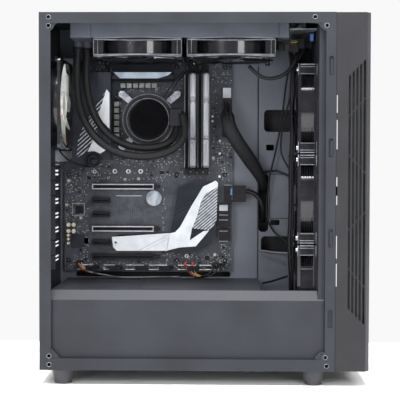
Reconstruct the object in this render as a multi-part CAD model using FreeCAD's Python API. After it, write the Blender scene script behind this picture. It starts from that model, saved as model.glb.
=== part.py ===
import FreeCAD, Part
import math
import os

V = FreeCAD.Vector

# Millimetres. Everything is drawn with X counted forward from the steel rear face,
# Y = 0 on the middle plane (minus is the open side) and Z = 0 on the floor.
# The nodes are moved by rear_x when they are written, so the origin is under the middle of the case.
rear_x = -210.5
open_y, wall_y, panel_y = -105.0, 104.0, 105.0
steel_depth, panel_start, plate_start, panel_end = 385.0, 385.4, 424.5, 429.0
floor_z, rail_low, rail_high, roof_z, top_z = 19.0, 34.5, 470.6, 484.8, 486.0
sheet = 1.0
tray_y, tray_end, tray_step = 79.1, 342.5, 289.0
board_y, board_thick = 71.0, 1.6
board_rear, board_wide, board_low, board_high = 8.0, 243.8, 133.2, 438.0
slot_pitch, slot_top, slot_count = 20.32, 276.1, 7
fan_size, fan_deep, fan_bore, fan_holes = 120.0, 25.0, 58.0, 105.0
hub_r, blade_r, blade_count = 20.0, 56.5, 9
rear_fan = (13.5, -33.0, 368.0)
top_fans = [(124.5, 0.0, 444.3), (249.5, 0.0, 444.3)]
front_fans = [(351.3, 0.0, z) for z in (362.9, 242.0, 121.1)]
fan_plane = 363.8
shroud_y, shroud_break, shroud_top = -98.0, 110.6, 122.5
shroud_start, shroud_end = 13.2, 371.3
psu = (1.0, 141.0, -85.0, 65.0, 24.0, 110.0)
psu_fan = (71.0, -10.0, 33.0)
cooler = (133.1, 351.0)
dimm_places = (186.4, 195.8, 205.2, 214.6)
dimm_low, dimm_high = 279.0, 422.0
latch_pivot = (68.0, 426.0)
rear_holes, front_hole, hole_low, hole_high, hole_r = 12.5, 372.5, 37.6, 467.4, 2.2
foot_places = ((29.0, -88.0), (358.0, -88.0), (29.0, 88.0), (358.0, 88.0))
button_place, reset_place, button_travel = (340.0, -52.0), (340.0, -30.0), 1.5
filter_slide_y, filter_slide_z = 62.0, 14.6
panel_hooks = (60.0, 160.0, 260.0, 346.0)
panel_hook_levels = (27.2, 477.2)

axes = {"x": (V(0, 1, 0), V(0, 0, 1), V(1, 0, 0)),
        "y": (V(1, 0, 0), V(0, 0, 1), V(0, 1, 0)),
        "z": (V(1, 0, 0), V(0, 1, 0), V(0, 0, 1))}


def slab(x0, x1, y0, y1, z0, z1):
    return Part.makeBox(x1 - x0, y1 - y0, z1 - z0, V(x0, y0, z0))


def rod(axis, level, u, v, radius, long):
    a, b, n = axes[axis]
    return Part.makeCylinder(radius, long, a * u + b * v + n * level, n)


def rect(u0, u1, v0, v1):
    return [(u0, v0), (u1, v0), (u1, v1), (u0, v1)]


def rounded(u0, u1, v0, v1, r, steps=4):
    corners = ((u1 - r, v0 + r, -90), (u1 - r, v1 - r, 0), (u0 + r, v1 - r, 90), (u0 + r, v0 + r, 180))
    turns = [(u, v, math.radians(start + 90.0 * k / steps)) for u, v, start in corners for k in range(steps + 1)]
    return [(u + r * math.cos(t), v + r * math.sin(t)) for u, v, t in turns]


def regular(u, v, r, sides, start=0.0):
    turns = [math.radians(start + 360.0 * k / sides) for k in range(sides)]
    return [(u + r * math.cos(t), v + r * math.sin(t)) for t in turns]


def plate(axis, level, thick, outer, holes=()):
    """A flat sheet square to an axis. A shape of three numbers is a circle, any other a polygon."""
    a, b, n = axes[axis]
    wires = []
    for shape in (outer, *holes):
        if len(shape) == 3 and not isinstance(shape[0], tuple):
            u, v, r = shape
            wires.append(Part.Wire(Part.makeCircle(r, a * u + b * v + n * level, n)))
        else:
            points = [a * u + b * v + n * level for u, v in shape]
            wires.append(Part.makePolygon(points + points[:1]))
    face = Part.makeFace(wires, "Part::FaceMakerBullseye")
    return face.extrude(n * thick)


def joined(*shapes):
    """One solid out of pieces that touch."""
    whole = shapes[0].fuse(list(shapes[1:])) if len(shapes) > 1 else shapes[0]
    return whole.removeSplitter()


def honeycomb(u, v, r_out, cell, pitch):
    """Hexagonal holes over a round area."""
    row = pitch * math.sqrt(3) / 2
    reach = int(r_out / row) + 1
    places = [(u + (i + 0.5 * (j % 2)) * pitch, v + j * row)
              for j in range(-reach, reach + 1) for i in range(-reach - 1, reach + 2)]
    return [regular(x, y, cell, 6, 30) for x, y in places if math.hypot(x - u, y - v) < r_out - cell]


def slots(u0, u1, v0, v1, count, wide, upright=False):
    """Evenly spaced long holes with rounded ends."""
    found = []
    for k in range(count):
        if upright:
            middle = u0 + (u1 - u0) * (k + 0.5) / count
            found.append(rounded(middle - wide / 2, middle + wide / 2, v0, v1, wide / 2.01))
        else:
            middle = v0 + (v1 - v0) * (k + 0.5) / count
            found.append(rounded(u0, u1, middle - wide / 2, middle + wide / 2, wide / 2.01))
    return found


def corner_holes(u, v, spacing, r):
    half = spacing / 2
    return [(u + i * half, v + j * half, r) for i in (-1, 1) for j in (-1, 1)]


def cord(name, points, diameter):
    """A round tube along straight runs joined by tangent arcs, as large as the runs allow."""
    points = [V(*p) for p in points]
    edges, start, radii = [], points[0], []
    for before, corner, after in zip(points, points[1:], points[2:]):
        back, on = before - corner, after - corner
        short = min(back.Length, on.Length)
        back.normalize()
        on.normalize()
        turn = math.pi - back.getAngle(on)
        reach = 0.45 * short
        radius = reach / math.tan(turn / 2)
        radii.append(radius)
        middle = (back + on).normalize()
        centre = corner + middle * (radius / math.cos(turn / 2))
        first, last = corner + back * reach, corner + on * reach
        edges.append(Part.LineSegment(start, first).toShape())
        edges.append(Part.Arc(first, centre - middle * radius, last).toShape())
        start = last
    edges.append(Part.LineSegment(start, points[-1]).toShape())
    path = Part.Wire(edges)
    along = points[1] - points[0]
    ring = Part.Wire(Part.makeCircle(diameter / 2, points[0], along))
    tube = path.makePipeShell([ring], True, False)
    ideal = math.pi * diameter ** 2 / 4 * path.Length
    print(f"{name}: {path.Length:.0f} mm long, smallest radius {min(radii):.1f} mm, "
          f"volume {tube.Volume / ideal:.4f} of section times length")
    return tube


def rear_wall():
    vents = honeycomb(rear_fan[1], rear_fan[2], 57.5, 2.6, 5.6)
    fan_screws = corner_holes(rear_fan[1], rear_fan[2], fan_holes, 2.2)
    io_window = rect(29.6, 74.0, 287.0, 442.0)
    card_windows = [rect(-41.0, 64.0, z - 6.2, z + 6.2) for z in card_levels()]
    psu_window = rounded(psu[2] + 5, psu[3] - 5, psu[4] + 5, psu[5] - 5, 3)
    screw_holes = [(97.5, 60.0, 1.6), (97.5, 452.0, 1.6)]
    # the right panel's two captive screws pass through the last two holes
    cuts = vents + fan_screws + [io_window] + card_windows + [psu_window] + screw_holes
    main = plate("x", 0, sheet, rect(open_y, wall_y, floor_z, roof_z), cuts)
    near = slab(sheet, 15.1, open_y, open_y + sheet, rail_low, rail_high)
    far = slab(sheet, 12.0, wall_y - sheet, wall_y, rail_low, rail_high)
    high = plate("y", open_y + sheet, sheet,
                 [(sheet, 460.5), (15.0, 460.5), (18.5, 464.0), (20.5, 468.5), (24.8, 470.8), (24.8, roof_z - sheet),
                  (sheet, roof_z - sheet)],
                 [(rear_holes, 478.5, 2.2), (rear_holes, hole_high, hole_r)])
    low = plate("y", open_y + sheet, sheet, [(sheet, 20.0), (27.0, 20.0), (27.0, 35.0), (16.5, 46.7), (sheet, 46.7)],
                [(rear_holes, hole_low, hole_r), (rear_holes, 26.3, 2.2)])
    seats = [rod("x", sheet, 97.5, z, 4.0, 3.0).cut(rod("x", sheet - 1, 97.5, z, 1.6, 6)) for z in (60.0, 452.0)]
    near = near.cut(rod("y", open_y - 1, rear_holes, hole_low, hole_r, 4))
    near = near.cut(rod("y", open_y - 1, rear_holes, hole_high, hole_r, 4))
    return joined(main, near, far, high, low, *seats)


def card_levels():
    return [slot_top - slot_pitch * k for k in range(slot_count)]


def floor_pan():
    filter_vents = slots(14, 134, -70, 50, 17, 3.4)
    cage_vents = slots(170, 330, -60, 60, 12, 4.0)
    foot_holes = [(x, y, 2.1) for x, y in foot_places]
    main = plate("z", floor_z, sheet, rect(sheet, steel_depth, open_y, wall_y), filter_vents + cage_vents + foot_holes)
    near = plate("y", open_y, sheet, rect(sheet, steel_depth, floor_z + sheet, rail_low),
                 [(rear_holes, 26.3, 2.2), (374.3, 26.3, 2.2)])
    far = plate("y", wall_y - sheet, sheet, rect(sheet, steel_depth, floor_z + sheet, rail_low),
                [rect(x - 14, x + 6, 23.5, 31.0) for x in panel_hooks])
    rails = [slab(sheet, 139, y, y + 8, floor_z + sheet, psu[4]) for y in (-82.0, 54.0)]
    return joined(main, near, far, *rails)


def roof_frame():
    radiator_vents = slots(40, 322, -58, 58, 15, 4.4)
    io_holes = [rect(331, 352, -8.5, 7.5), rect(331, 352, 12.0, 28.0), (341.5, 42.0, 3.4), (341.5, 54.0, 3.4),
                (button_place[0], button_place[1], 7.6), (reset_place[0], reset_place[1], 3.6)]
    main = plate("z", roof_z - sheet, sheet, rect(sheet, steel_depth, open_y, wall_y), radiator_vents + io_holes)
    near = plate("y", open_y, sheet, rect(sheet, steel_depth, rail_high, roof_z - sheet),
                 [(rear_holes, 478.5, 2.2), (357.3, 478.5, 2.2)])
    far = plate("y", wall_y - sheet, sheet, rect(sheet, steel_depth, rail_high, roof_z - sheet),
                [rect(x - 14, x + 6, 473.5, 481.0) for x in panel_hooks])
    return joined(main, near, far)


def front_frame():
    openings = [(f[1], f[2], 57.0) for f in front_fans]
    screws = [h for f in front_fans for h in corner_holes(f[1], f[2], fan_holes, 2.2)]
    clips = [rect(s * 90 - 3.2, s * 90 + 3.2, z - 5.2, z + 5.2) for s in (-1, 1) for z in (50.0, 252.0, 455.0)]
    web = plate("x", fan_plane, sheet, rect(-95.0, 94.0, 20.0, roof_z - sheet), openings + screws + clips)
    parts = [web]
    hooks = [rounded(375.5, 381.5, z - 12, z + 12, 2) for z in (416.0, 310.0, 193.0, 88.0)]
    for side in (-1, 1):
        outer = open_y if side < 0 else wall_y - sheet
        post = plate("y", outer, sheet, rect(371.8, steel_depth, rail_low, rail_high), hooks)
        if side < 0:
            for z in (hole_low, hole_high):
                lobe = rod("y", outer, front_hole, z, 6.5, sheet).common(slab(360, 380, -110, 110, rail_low, rail_high))
                post = post.fuse(lobe).cut(rod("y", outer - 1, front_hole, z, hole_r, 4))
        inner = -96.0 if side < 0 else 94.0
        low, high = sorted((outer + (sheet if side < 0 else 0), inner + (0 if side < 0 else sheet)))
        step = slab(371.8, 372.8, low, high, rail_low, rail_high)
        lip = slab(fan_plane, 372.8, inner, inner + sheet, 20.0, roof_z - sheet)
        edge = slab(steel_depth - sheet, steel_depth, *sorted((outer + (sheet if side < 0 else 0), side * 95.0)),
                    rail_low, rail_high)
        parts += [post, step.cut(rod("y", -140, front_hole, hole_low, 3.0, 60))
                  .cut(rod("y", -140, front_hole, hole_high, 3.0, 60)), lip, edge]
    ear_high = plate("y", open_y + sheet, sheet,
                     [(350.0, 471.0), (361.0, 470.0), (366.0, 464.0), (369.0, 461.0), (371.8, 460.8),
                      (371.8, roof_z - sheet), (350.0, roof_z - sheet)], [(357.3, 478.5, 2.2)])
    ear_low = plate("y", open_y + sheet, sheet, [(359.5, 20.0), (371.8, 20.0), (371.8, 45.0), (366.0, 45.0), (359.5, 38.0)],
                    [(366.5, 30.0, 2.0)])
    return joined(*parts, ear_high, ear_low)


def motherboard_tray():
    cutouts = [rounded(297.9, 338.7, 335.5, 367.4, 6), rounded(294.0, 338.0, 160.7, 184.0, 6),
               rounded(290.2, 304.6, 190.0, 275.0, 6.0), rounded(301.0, 312.5, 308.5, 317.0, 2),
               rounded(307.5, 321.0, 200.0, 208.0, 2)]
    windows = [rounded(90.0, 176.0, 300.0, 398.0, 8), rounded(40.0, 90.0, 444.0, 462.0, 6),
               rounded(150.0, 240.0, 444.0, 462.0, 6), rounded(24.0, 250.0, 124.0, 131.2, 3)]
    holes = [(x, z, 1.4) for x, z in board_holes()]
    back = plate("y", tray_y, sheet, rect(sheet, tray_step, 20.0, roof_z - sheet), windows + holes)
    step = slab(tray_step, tray_step + sheet, tray_y - 3.0, tray_y + sheet, 20.0, roof_z - sheet)
    front = plate("y", tray_y - 4.0, sheet, rect(tray_step, tray_end, 20.0, roof_z - sheet), cutouts)
    studs = [plate("y", board_y + board_thick, tray_y - board_y - board_thick, (x, z, 3.4), [(x, z, 1.4)])
             for x, z in board_holes()]
    # the hem stops short of the right panel's hooks, which slide past it
    hem = slab(tray_end - sheet, tray_end, tray_y - 3.0, wall_y - sheet, 20.0, roof_z - sheet)
    hem = hem.cut(Part.Compound([slab(tray_end - 2, tray_end + 1, 100.4, wall_y, z - 4.0, z + 4.0)
                                 for z in panel_hook_levels]))
    return joined(back, step, front, hem, *studs)


def board_holes():
    rows = ((165.1, (6.35, 163.83, 233.68)), (289.56, (6.35, 163.83, 233.68)))
    top = [(board_rear + 6.35, board_high - 33.0), (board_rear + 163.83, board_high - 10.16),
           (board_rear + 233.68, board_high - 10.16)]
    return top + [(board_rear + x, board_high - z) for z, row in rows for x in row]


def psu_shroud():
    fold = 0.7072 * sheet
    side = [(shroud_y, 20.0), (shroud_y + sheet, 20.0), (shroud_y + sheet, shroud_break), (-86.0, shroud_top - fold),
            (-86.0, shroud_top), (-87.0, shroud_top), (shroud_y, shroud_break)]
    face = plate("x", shroud_start, shroud_end - shroud_start, side)
    # the sloping edge ends at the front web, and only the upright face passes in front of it
    face = face.cut(slab(fan_plane - 0.5, shroud_end + 1, -96.3, -80.0, 100.0, 130.0))
    top = plate("z", shroud_top - sheet, sheet, rect(shroud_start, tray_step, -87.0, tray_y - 4.0),
                [rounded(60, 120, 52, 68, 7), rounded(180, 240, 52, 68, 7)] + slots(40, 130, -60, 30, 9, 3.4))
    return joined(face, top)


def feet():
    made = []
    for x, y in foot_places:
        sleeve = Part.makeCone(12.5, 14.5, floor_z - 5.0, V(x, y, 5.0), V(0, 0, 1))
        sleeve = sleeve.cut(rod("z", 4, x, y, 9.0, floor_z - 8))
        pad = rod("z", 0, x, y, 11.5, 4.9)
        pad = pad.makeFillet(1.2, [pad.Edges[2]])
        made += [sleeve, pad.fuse(rod("z", 4.9, x, y, 8.9, 4.0)).removeSplitter()]
    return made


def screw(axis, level, u, v, head_r, head_high, shank_r, shank, out):
    """A pan-head screw. out is the side that the head stands on, and shank the length below it."""
    head = rod(axis, level if out > 0 else level - head_high, u, v, head_r, head_high)
    leg = rod(axis, level - shank if out > 0 else level, u, v, shank_r, shank)
    drive = rod(axis, level + head_high - 1.0 if out > 0 else level - head_high, u, v, head_r * 0.4, 1.0)
    return head.fuse(leg).cut(drive).removeSplitter()


def screws():
    made = [screw("y", board_y, x, z, 2.9, 2.0, 1.3, 7.5, -1) for x, z in board_holes()]
    made += [screw("x", 0, y, z, 3.4, 2.0, 1.9, 6.0, -1) for y, z, _ in
             corner_holes(rear_fan[1], rear_fan[2], fan_holes, 2)]
    for x, y, z in top_fans:
        made += [screw("z", z - fan_deep / 2, u, v, 3.2, 1.8, 1.7, 25.0, -1) for u, v, _ in corner_holes(x, y, fan_holes, 2)]
    for x, y, z in front_fans:
        made += [screw("x", x - fan_deep / 2, u, v, 3.2, 1.8, 1.7, 24.0, -1) for u, v, _ in corner_holes(y, z, fan_holes, 2)]
    return made


def slot_covers():
    made = []
    for z in card_levels():
        vents = [piece for half in ((-36.0, 12.0), (16.0, 62.0)) for piece in slots(*half, z - 5.4, z + 5.4, 2, 2.6)]
        back = plate("x", sheet + 0.1, 0.9, rect(-43.0, 69.0, z - 9.2, z + 9.2), vents)
        tab = slab(sheet + 0.1, 12.0, -44.0, -43.0, z - 9.2, z + 9.2)
        made.append(joined(back, tab))
    return made


def motherboard():
    outline = rect(board_rear, board_rear + board_wide, board_low, board_high)
    return plate("y", board_y, board_thick, outline, [(x, z, 1.9) for x, z in board_holes()])


def io_ports():
    ports = [(292.0, 307.0, 50.0), (310.0, 325.0, 50.0), (328.0, 343.0, 43.0), (346.0, 361.0, 43.0),
             (364.0, 380.0, 41.0), (383.0, 397.0, 56.0), (412.5, 424.0, 44.0), (426.5, 439.0, 48.0)]
    made = []
    cuts = []
    for low, high, near in ports:
        block = slab(0.2, 24.0, near, board_y, low, high)
        room = slab(-1, 14.0, near + 2.5, board_y - 3.5, low + 2.0, high - 2.0)
        made.append(block.cut(room))
        cuts.append(rect(near - 0.2, board_y + 0.2, low - 0.2, high + 0.2))
    made.append(plate("x", 0.2, 0.8, rect(30.0, 73.6, 287.4, 441.6), cuts))
    return made


def io_cover():
    side = [(29.0, 24.6), (29.0, 70.0), (33.0, 79.1), (board_y - 12.0, 79.1), (board_y - 12.0, 76.6), (36.0, 76.6),
            (31.5, 69.0), (31.5, 24.6)]
    bend = plate("z", 294.0, 124.0, [(x, y) for y, x in side])
    low = plate("z", 294.0, 2.5, [(24.6, 29.0), (70.0, 29.0), (79.1, 33.0), (79.1, 59.0), (24.6, 59.0)])
    high = plate("z", 415.5, 2.5, [(24.6, 29.0), (70.0, 29.0), (79.1, 33.0), (79.1, 59.0), (24.6, 59.0)])
    return joined(bend, low, high)


def vrm_heatsink():
    bar = plate("x", 79.6, 89.0, [(70.5, 407.0), (42.5, 407.0), (40.0, 409.5), (40.0, 415.0), (42.5, 418.5),
                                  (45.0, 418.5), (45.0, 420.0), (52.0, 420.0), (52.0, 431.2), (70.5, 431.2)])
    grooves = [slab(79, 170, 41.0 + k, 42.4 + k, 424.0, 440.0) for k in (13, 17, 21)]
    return joined(bar.cut(Part.Compound(grooves)))


def chipset_heatsink():
    points = [(173.9, 254.1), (201.2, 265.7), (227.2, 261.4), (228.8, 190.8), (217.3, 172.0), (198.6, 161.8),
              (158.9, 161.6)]
    upper = plate("y", 58.0, 9.0, points)
    chip = slab(186.0, 214.0, 67.0, board_y, 198.0, 226.0)
    groove = [plate("y", 57.0, 2.2, [(x, 238.0 - k), (x + 24.0, 252.0 - k), (x + 24.0, 253.2 - k), (x, 239.2 - k)])
              for k, x in ((0, 196), (6, 198), (12, 200))]
    return joined(upper.cut(Part.Compound(groove)), chip)


def m2_shield():
    points = [(78.4, 182.9), (162.4, 188.8), (158.3, 163.2), (85.6, 162.9), (80.0, 168.0)]
    cover = plate("y", 60.0, 2.0, points, [(83.6, 175.0, 1.6)])
    leg = plate("y", 62.0, board_y - 62.0, (83.6, 175.0, 3.0), [(83.6, 175.0, 1.6)])
    foot = slab(148.0, 156.0, 62.0, board_y, 166.0, 184.0)
    return joined(cover, leg, foot)


def m2_drive():
    card = slab(88.0, 146.0, 66.6, 67.6, 165.0, 186.0)
    chips = [slab(x, x + 13, 65.2, 66.6, 168.0, 183.0) for x in (94.0, 112.0)]
    socket = slab(138.0, 147.6, 67.6, board_y, 165.5, 185.5)
    return joined(card, socket, *chips)


def expansion_slots():
    long, short = 89.0, 25.0
    made = []
    for z, length in ((255.8, long), (235.5, short), (215.2, short), (194.8, long), (174.5, short), (154.2, long)):
        body = slab(49.7, 49.7 + length, 60.0, board_y, z - 3.75, z + 3.75)
        groove = slab(51.0, 48.4 + length, 59.0, 66.0, z - 1.1, z + 1.1)
        key = slab(62.0, 63.6, 60.0, 66.0, z - 1.1, z + 1.1)
        piece = body.cut(groove).fuse(key)
        if length == long:
            latch = slab(49.7 + length, 57.5 + length, 58.0, board_y, z - 2.6, z + 2.6)
            piece = piece.fuse(latch)
        made.append(piece.removeSplitter())
    return made


def dimm_slots():
    made = []
    for x in dimm_places:
        body = slab(x - 3.2, x + 3.2, 64.0, board_y, dimm_low, dimm_high)
        groove = slab(x - 0.9, x + 0.9, 63.0, 68.6, dimm_low + 4.0, dimm_high - 4.0)
        end = slab(x - 3.2, x + 3.2, 57.0, 64.0, dimm_low - 6.0, dimm_low + 2.6)
        foot = slab(x - 3.2, x + 3.2, 64.0, board_y, dimm_low - 6.0, dimm_low)
        cheeks = [slab(x + s * 2.5 - 0.7, x + s * 2.5 + 0.7, 60.0, board_y, dimm_high - 2.0, dimm_high + 9.0)
                  for s in (-1, 1)]
        made.append(joined(body.cut(groove), end, foot, *cheeks))
    return made


def memory_modules():
    made = []
    low, high = dimm_low + 4.6, dimm_high - 4.6
    for x in (dimm_places[1], dimm_places[3]):
        card = slab(x - 0.6, x + 0.6, 38.0, 68.4, low, high)
        side = [(62.0, low), (62.0, high), (34.0, high), (31.0, high - 3), (31.0, 382.0), (34.5, 379.0), (34.5, 376.5),
                (31.0, 374.0), (31.0, 331.0), (34.5, 328.0), (34.5, 325.5), (31.0, 322.0), (31.0, low + 3), (34.0, low)]
        cover = plate("x", x - 3.4, 6.8, side).cut(slab(x - 0.6, x + 0.6, 38.0, 70.0, low - 1, high + 1))
        made += [card, cover]
    return made


def dimm_latch(x):
    y, z = latch_pivot
    lever = [(y + 1.5, z - 3.0), (y + 1.5, z + 1.5), (y - 1.5, z + 3.0), (y - 4.5, z + 5.2), (y - 7.2, z + 5.2),
             (y - 7.2, z + 2.6), (y - 6.0, z - 1.5), (y - 7.1, z - 5.0), (y - 7.1, z - 7.2), (y - 4.6, z - 7.2),
             (y - 4.4, z - 3.2)]
    pivot = rod("x", x - 1.7, y, z, 1.1, 3.4)
    return joined(plate("x", x - 1.5, 3.0, lever), pivot)


def coin_cell():
    cell = rod("y", 62.0, 138.6, 239.0, 10.0, 3.2)
    holder = rod("y", 65.2, 138.6, 239.0, 11.2, board_y - 65.2)
    clip = slab(136.6, 140.6, 61.4, 65.2, 228.4, 231.0).cut(cell)
    return [cell, joined(holder, clip)]


capacitor_places = ((15.1, 200.5, 3.1), (22.5, 200.5, 3.1), (15.1, 191.1, 3.1), (22.5, 191.1, 3.1), (14.8, 185.3, 2.2),
                    (14.8, 179.6, 2.2), (14.8, 173.7, 2.2))


def board_sockets():
    made = [slab(236.9, 251.3, 61.0, board_y, 327.7, 381.0), slab(236.9, 250.0, 62.0, board_y, 383.0, 399.0),
            slab(26.5, 40.0, 60.0, board_y, 419.5, 436.5)]
    made.append(slab(240.1, 251.5, 60.0, board_y, 234.0, 258.0))
    made += [slab(x, x + 18.0, 62.5, board_y, 135.2, 140.6) for x in (40.0, 74.0, 112.0, 146.0, 186.0)]
    made += [slab(94.1 + 9.0 * k - 3.6, 94.1 + 9.0 * k + 3.6, 64.0, board_y, 398.0, 405.2) for k in range(6)]
    made += [slab(81.2, 88.4, 64.0, board_y, 329.0 + 9.2 * k, 336.2 + 9.2 * k) for k in range(6)]
    made += [rod("y", 60.5, x, z, r, board_y - 60.5) for x, z, r in capacitor_places]
    made += [slab(34.0, 43.0, 69.4, board_y, 172.0, 181.0), slab(24.0, 36.0, 69.2, board_y, 216.0, 228.0)]
    return made


def sata_ports():
    made = []
    for low, high in ((199.0, 231.0), (177.6, 195.0)):
        block = slab(233.0, 249.5, 57.0, board_y, low, high)
        count = max(1, int((high - low) / 15))
        for k in range(count):
            start = low + (high - low) * k / count
            for y in (58.6, 64.6):
                block = block.cut(slab(240.0, 251.0, y, y + 4.4, start + 1.8, start + (high - low) / count - 1.8))
        made.append(block)
    return made


def processor():
    x, z = cooler
    socket = slab(x - 26, x + 26, 66.0, board_y, z - 29, z + 29)
    lid = slab(x - 18, x + 18, 63.5, 66.0, z - 18, z + 18)
    return [socket, lid]


def pump_body():
    x, z = cooler
    base = rod("y", 60.2, x, z, 27.0, 3.3)
    body = rod("y", 25.0, x, z, 36.4, 33.0)
    body = body.fuse(rod("y", 58.0, x, z, 28.0, 2.2))
    cap = rod("y", 22.0, x, z, 31.2, 3.0)
    face = rod("y", 20.0, x, z, 28.0, 2.0)
    neck = slab(x + 30.0, x + 48.0, 12.0, 42.0, z - 10.0, z + 16.0)
    neck = neck.makeFillet(3.0, neck.Edges)
    return [joined(base, body, cap, face, neck)]


def pump_bracket():
    x, z = cooler
    arms = [plate("y", 58.1, 2.0, [(x + i * a, z + j * b) for a, b in ((24, 30), (30, 24), (44, 35), (44, 42), (37, 42))])
            for i in (-1, 1) for j in (-1, 1)]
    ring = plate("y", 58.1, 2.0, (x, z, 37.5), [(x, z, 28.3)])
    whole = joined(ring, *arms)
    for i in (-1, 1):
        for j in (-1, 1):
            whole = whole.cut(rod("y", 50, x + i * 39.7, z + j * 37.5, 2.3, 20))
    posts = [joined(rod("y", 51.0, x + i * 39.7, z + j * 37.5, 4.6, 7.0), rod("y", 58.0, x + i * 39.7, z + j * 37.5, 2.2, 13.0))
             for i in (-1, 1) for j in (-1, 1)]
    return [whole, *posts]


def radiator():
    rear, core, front, end = 34.5, 61.2, 312.0, 326.5
    low, high = 456.8, roof_z - sheet
    tanks = [slab(rear, core, -60, 60, low, high), slab(front, end, -60, 60, low, high)]
    rails = [slab(core, front, y, y + 1.5, low, high) for y in (-60.0, 58.5)]
    tubes = [slab(core, front, y - 1.0, y + 1.0, low + 4, high - 2) for y in range(-54, 55, 9)]
    fins = slab(core, front, -58.5, 58.5, low + 6, high - 4)
    barbs = [rod("z", 449.0, 49.8, 0.0, 6.6, low - 449.0), rod("z", 449.0, 38.4, -10.0, 6.6, low - 449.0)]
    return joined(*tanks, *rails, fins, *tubes, *barbs)


def coolant_routes():
    inner = [(49.8, 0, 449.0), (48.6, 0.5, 425.0), (48.3, -1, 400.0), (53.5, -3, 373.0), (63.5, -4, 349.0), (80.0, -4, 328.0),
             (103.5, -3, 314.5), (130.4, -2, 309.7), (156.0, 0, 313.5), (172.0, 8, 325.0), (173.5, 18, 340.8)]
    outer = [(38.4, -10, 449.0), (36.8, -10.5, 425.0), (36.4, -12.5, 396.0), (40.5, -15, 367.0), (50.5, -17, 341.5), (67.5, -18, 319.5),
             (94.0, -17.5, 303.0), (127.5, -15.5, 297.5), (159.5, -11, 302.5), (181.0, -3, 317.0), (187.6, 4, 337.0), (181.2, 11, 358.5)]
    return inner, outer


def fan_frame(axis, centre):
    """A square frame with a round duct, four struts and a motor seat on its far face."""
    order = {"x": (1, 2, 0), "y": (0, 2, 1), "z": (0, 1, 2)}[axis]
    u, v, w = (centre[k] for k in order)
    half, back = fan_size / 2, w - fan_deep / 2
    outer = rounded(u - half, u + half, v - half, v + half, 6.0)
    holes = corner_holes(u, v, fan_holes, 2.2)
    ends = [plate(axis, level, 4.0, outer, [(u, v, fan_bore)] + holes) for level in (back, back + fan_deep - 4.0)]
    duct = plate(axis, back + 4.0, fan_deep - 8.0, (u, v, fan_bore + 1.9), [(u, v, fan_bore)])
    seat = rod(axis, back, u, v, hub_r - 1.0, 4.5)
    struts = []
    for turn in (20, 110, 200, 290):
        a, b, n = axes[axis]
        arm = Part.makeBox(fan_bore - hub_r + 3.0, 4.0, 3.0, V(hub_r - 2.0, -2.0, 0))
        arm.rotate(V(0, 0, 0), V(0, 0, 1), turn)
        arm = arm.transformGeometry(FreeCAD.Matrix(a.x, b.x, n.x, 0, a.y, b.y, n.y, 0, a.z, b.z, n.z, 0, 0, 0, 0, 1))
        arm.translate(a * u + b * v + n * back)
        struts.append(arm)
    return joined(*ends, duct, seat, *struts)


def rotor(axis, centre, radius=blade_r, deep=18.0):
    """A hub with swept, pitched blades. It is drawn along +Z and then laid on its axis."""
    hub = rod("z", 0, 0, 0, hub_r, deep)
    hub = hub.makeFillet(2.0, [e for e in hub.Edges if e.BoundBox.ZMin > deep - 0.1])
    blades = []
    for k in range(blade_count):
        turn = 360.0 * k / blade_count
        wires = []
        for r, chord, pitch, lead in ((hub_r - 1.5, 15.0, 44.0, 0.0), (radius, 29.0, 28.0, 17.0)):
            rise = math.sin(math.radians(pitch)) * chord / 2
            run = math.cos(math.radians(pitch)) * chord / 2
            out = math.sqrt(r ** 2 - (run + 0.8) ** 2)
            corners = ((-run, -rise), (run, rise), (run - 0.8, rise + 0.9), (-run - 0.8, -rise + 0.9))
            points = [V(out, u, deep / 2 - 0.6 + w) for u, w in corners]
            wires.append(Part.makePolygon(points + points[:1]))
            wires[-1].rotate(V(0, 0, 0), V(0, 0, 1), lead)
        blade = Part.makeLoft(wires, True, True)
        blade.rotate(V(0, 0, 0), V(0, 0, 1), turn)
        blades.append(blade)
    whole = joined(hub, *blades)
    a, b, n = axes[axis]
    whole.translate(V(0, 0, -deep / 2 + 1.5))
    if axis == "y":
        whole.rotate(V(0, 0, 0), V(1, 0, 0), -90)
    if axis == "x":
        whole.rotate(V(0, 0, 0), V(0, 1, 0), 90)
    whole.translate(V(*centre))
    return whole


def psu_housing():
    x0, x1, y0, y1, z0, z1 = psu
    wall = 1.2
    vents = honeycomb(-32.0, 67.0, 40.0, 3.0, 6.6)
    rear = plate("x", x0, wall, rect(y0, y1, z0, z1), vents + [rect(28.0, 55.5, 62.0, 84.5), rect(34.0, 49.0, 40.0, 61.0)])
    front = plate("x", x1 - wall, wall, rect(y0, y1, z0, z1), [rounded(10, 58, 38, 60, 8)])
    sides = [slab(x0 + wall, x1 - wall, y, y + wall, z0, z1) for y in (y0, y1 - wall)]
    roof = slab(x0 + wall, x1 - wall, y0 + wall, y1 - wall, z1 - wall, z1)
    grille = [(psu_fan[0], psu_fan[1], 62.0)]
    base = plate("z", z0, wall, rect(x0 + wall, x1 - wall, y0 + wall, y1 - wall), grille)
    rings = [plate("z", z0, 1.4, (psu_fan[0], psu_fan[1], r), [(psu_fan[0], psu_fan[1], r - 1.6)]) for r in (18, 30, 42, 54)]
    arms = [slab(psu_fan[0] - 63, psu_fan[0] + 63, psu_fan[1] - 1.2, psu_fan[1] + 1.2, z0, z0 + 1.4),
            slab(psu_fan[0] - 1.2, psu_fan[0] + 1.2, psu_fan[1] - 63, psu_fan[1] + 63, z0, z0 + 1.4)]
    seat = rod("z", z0 + 1.2, psu_fan[0], psu_fan[1], 17.0, 3.8)
    # a folded base carries the two ends, and a folded cover makes the sides and the roof
    return [joined(rear, front, base, *rings, *arms, seat), joined(*sides, roof)]


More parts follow.
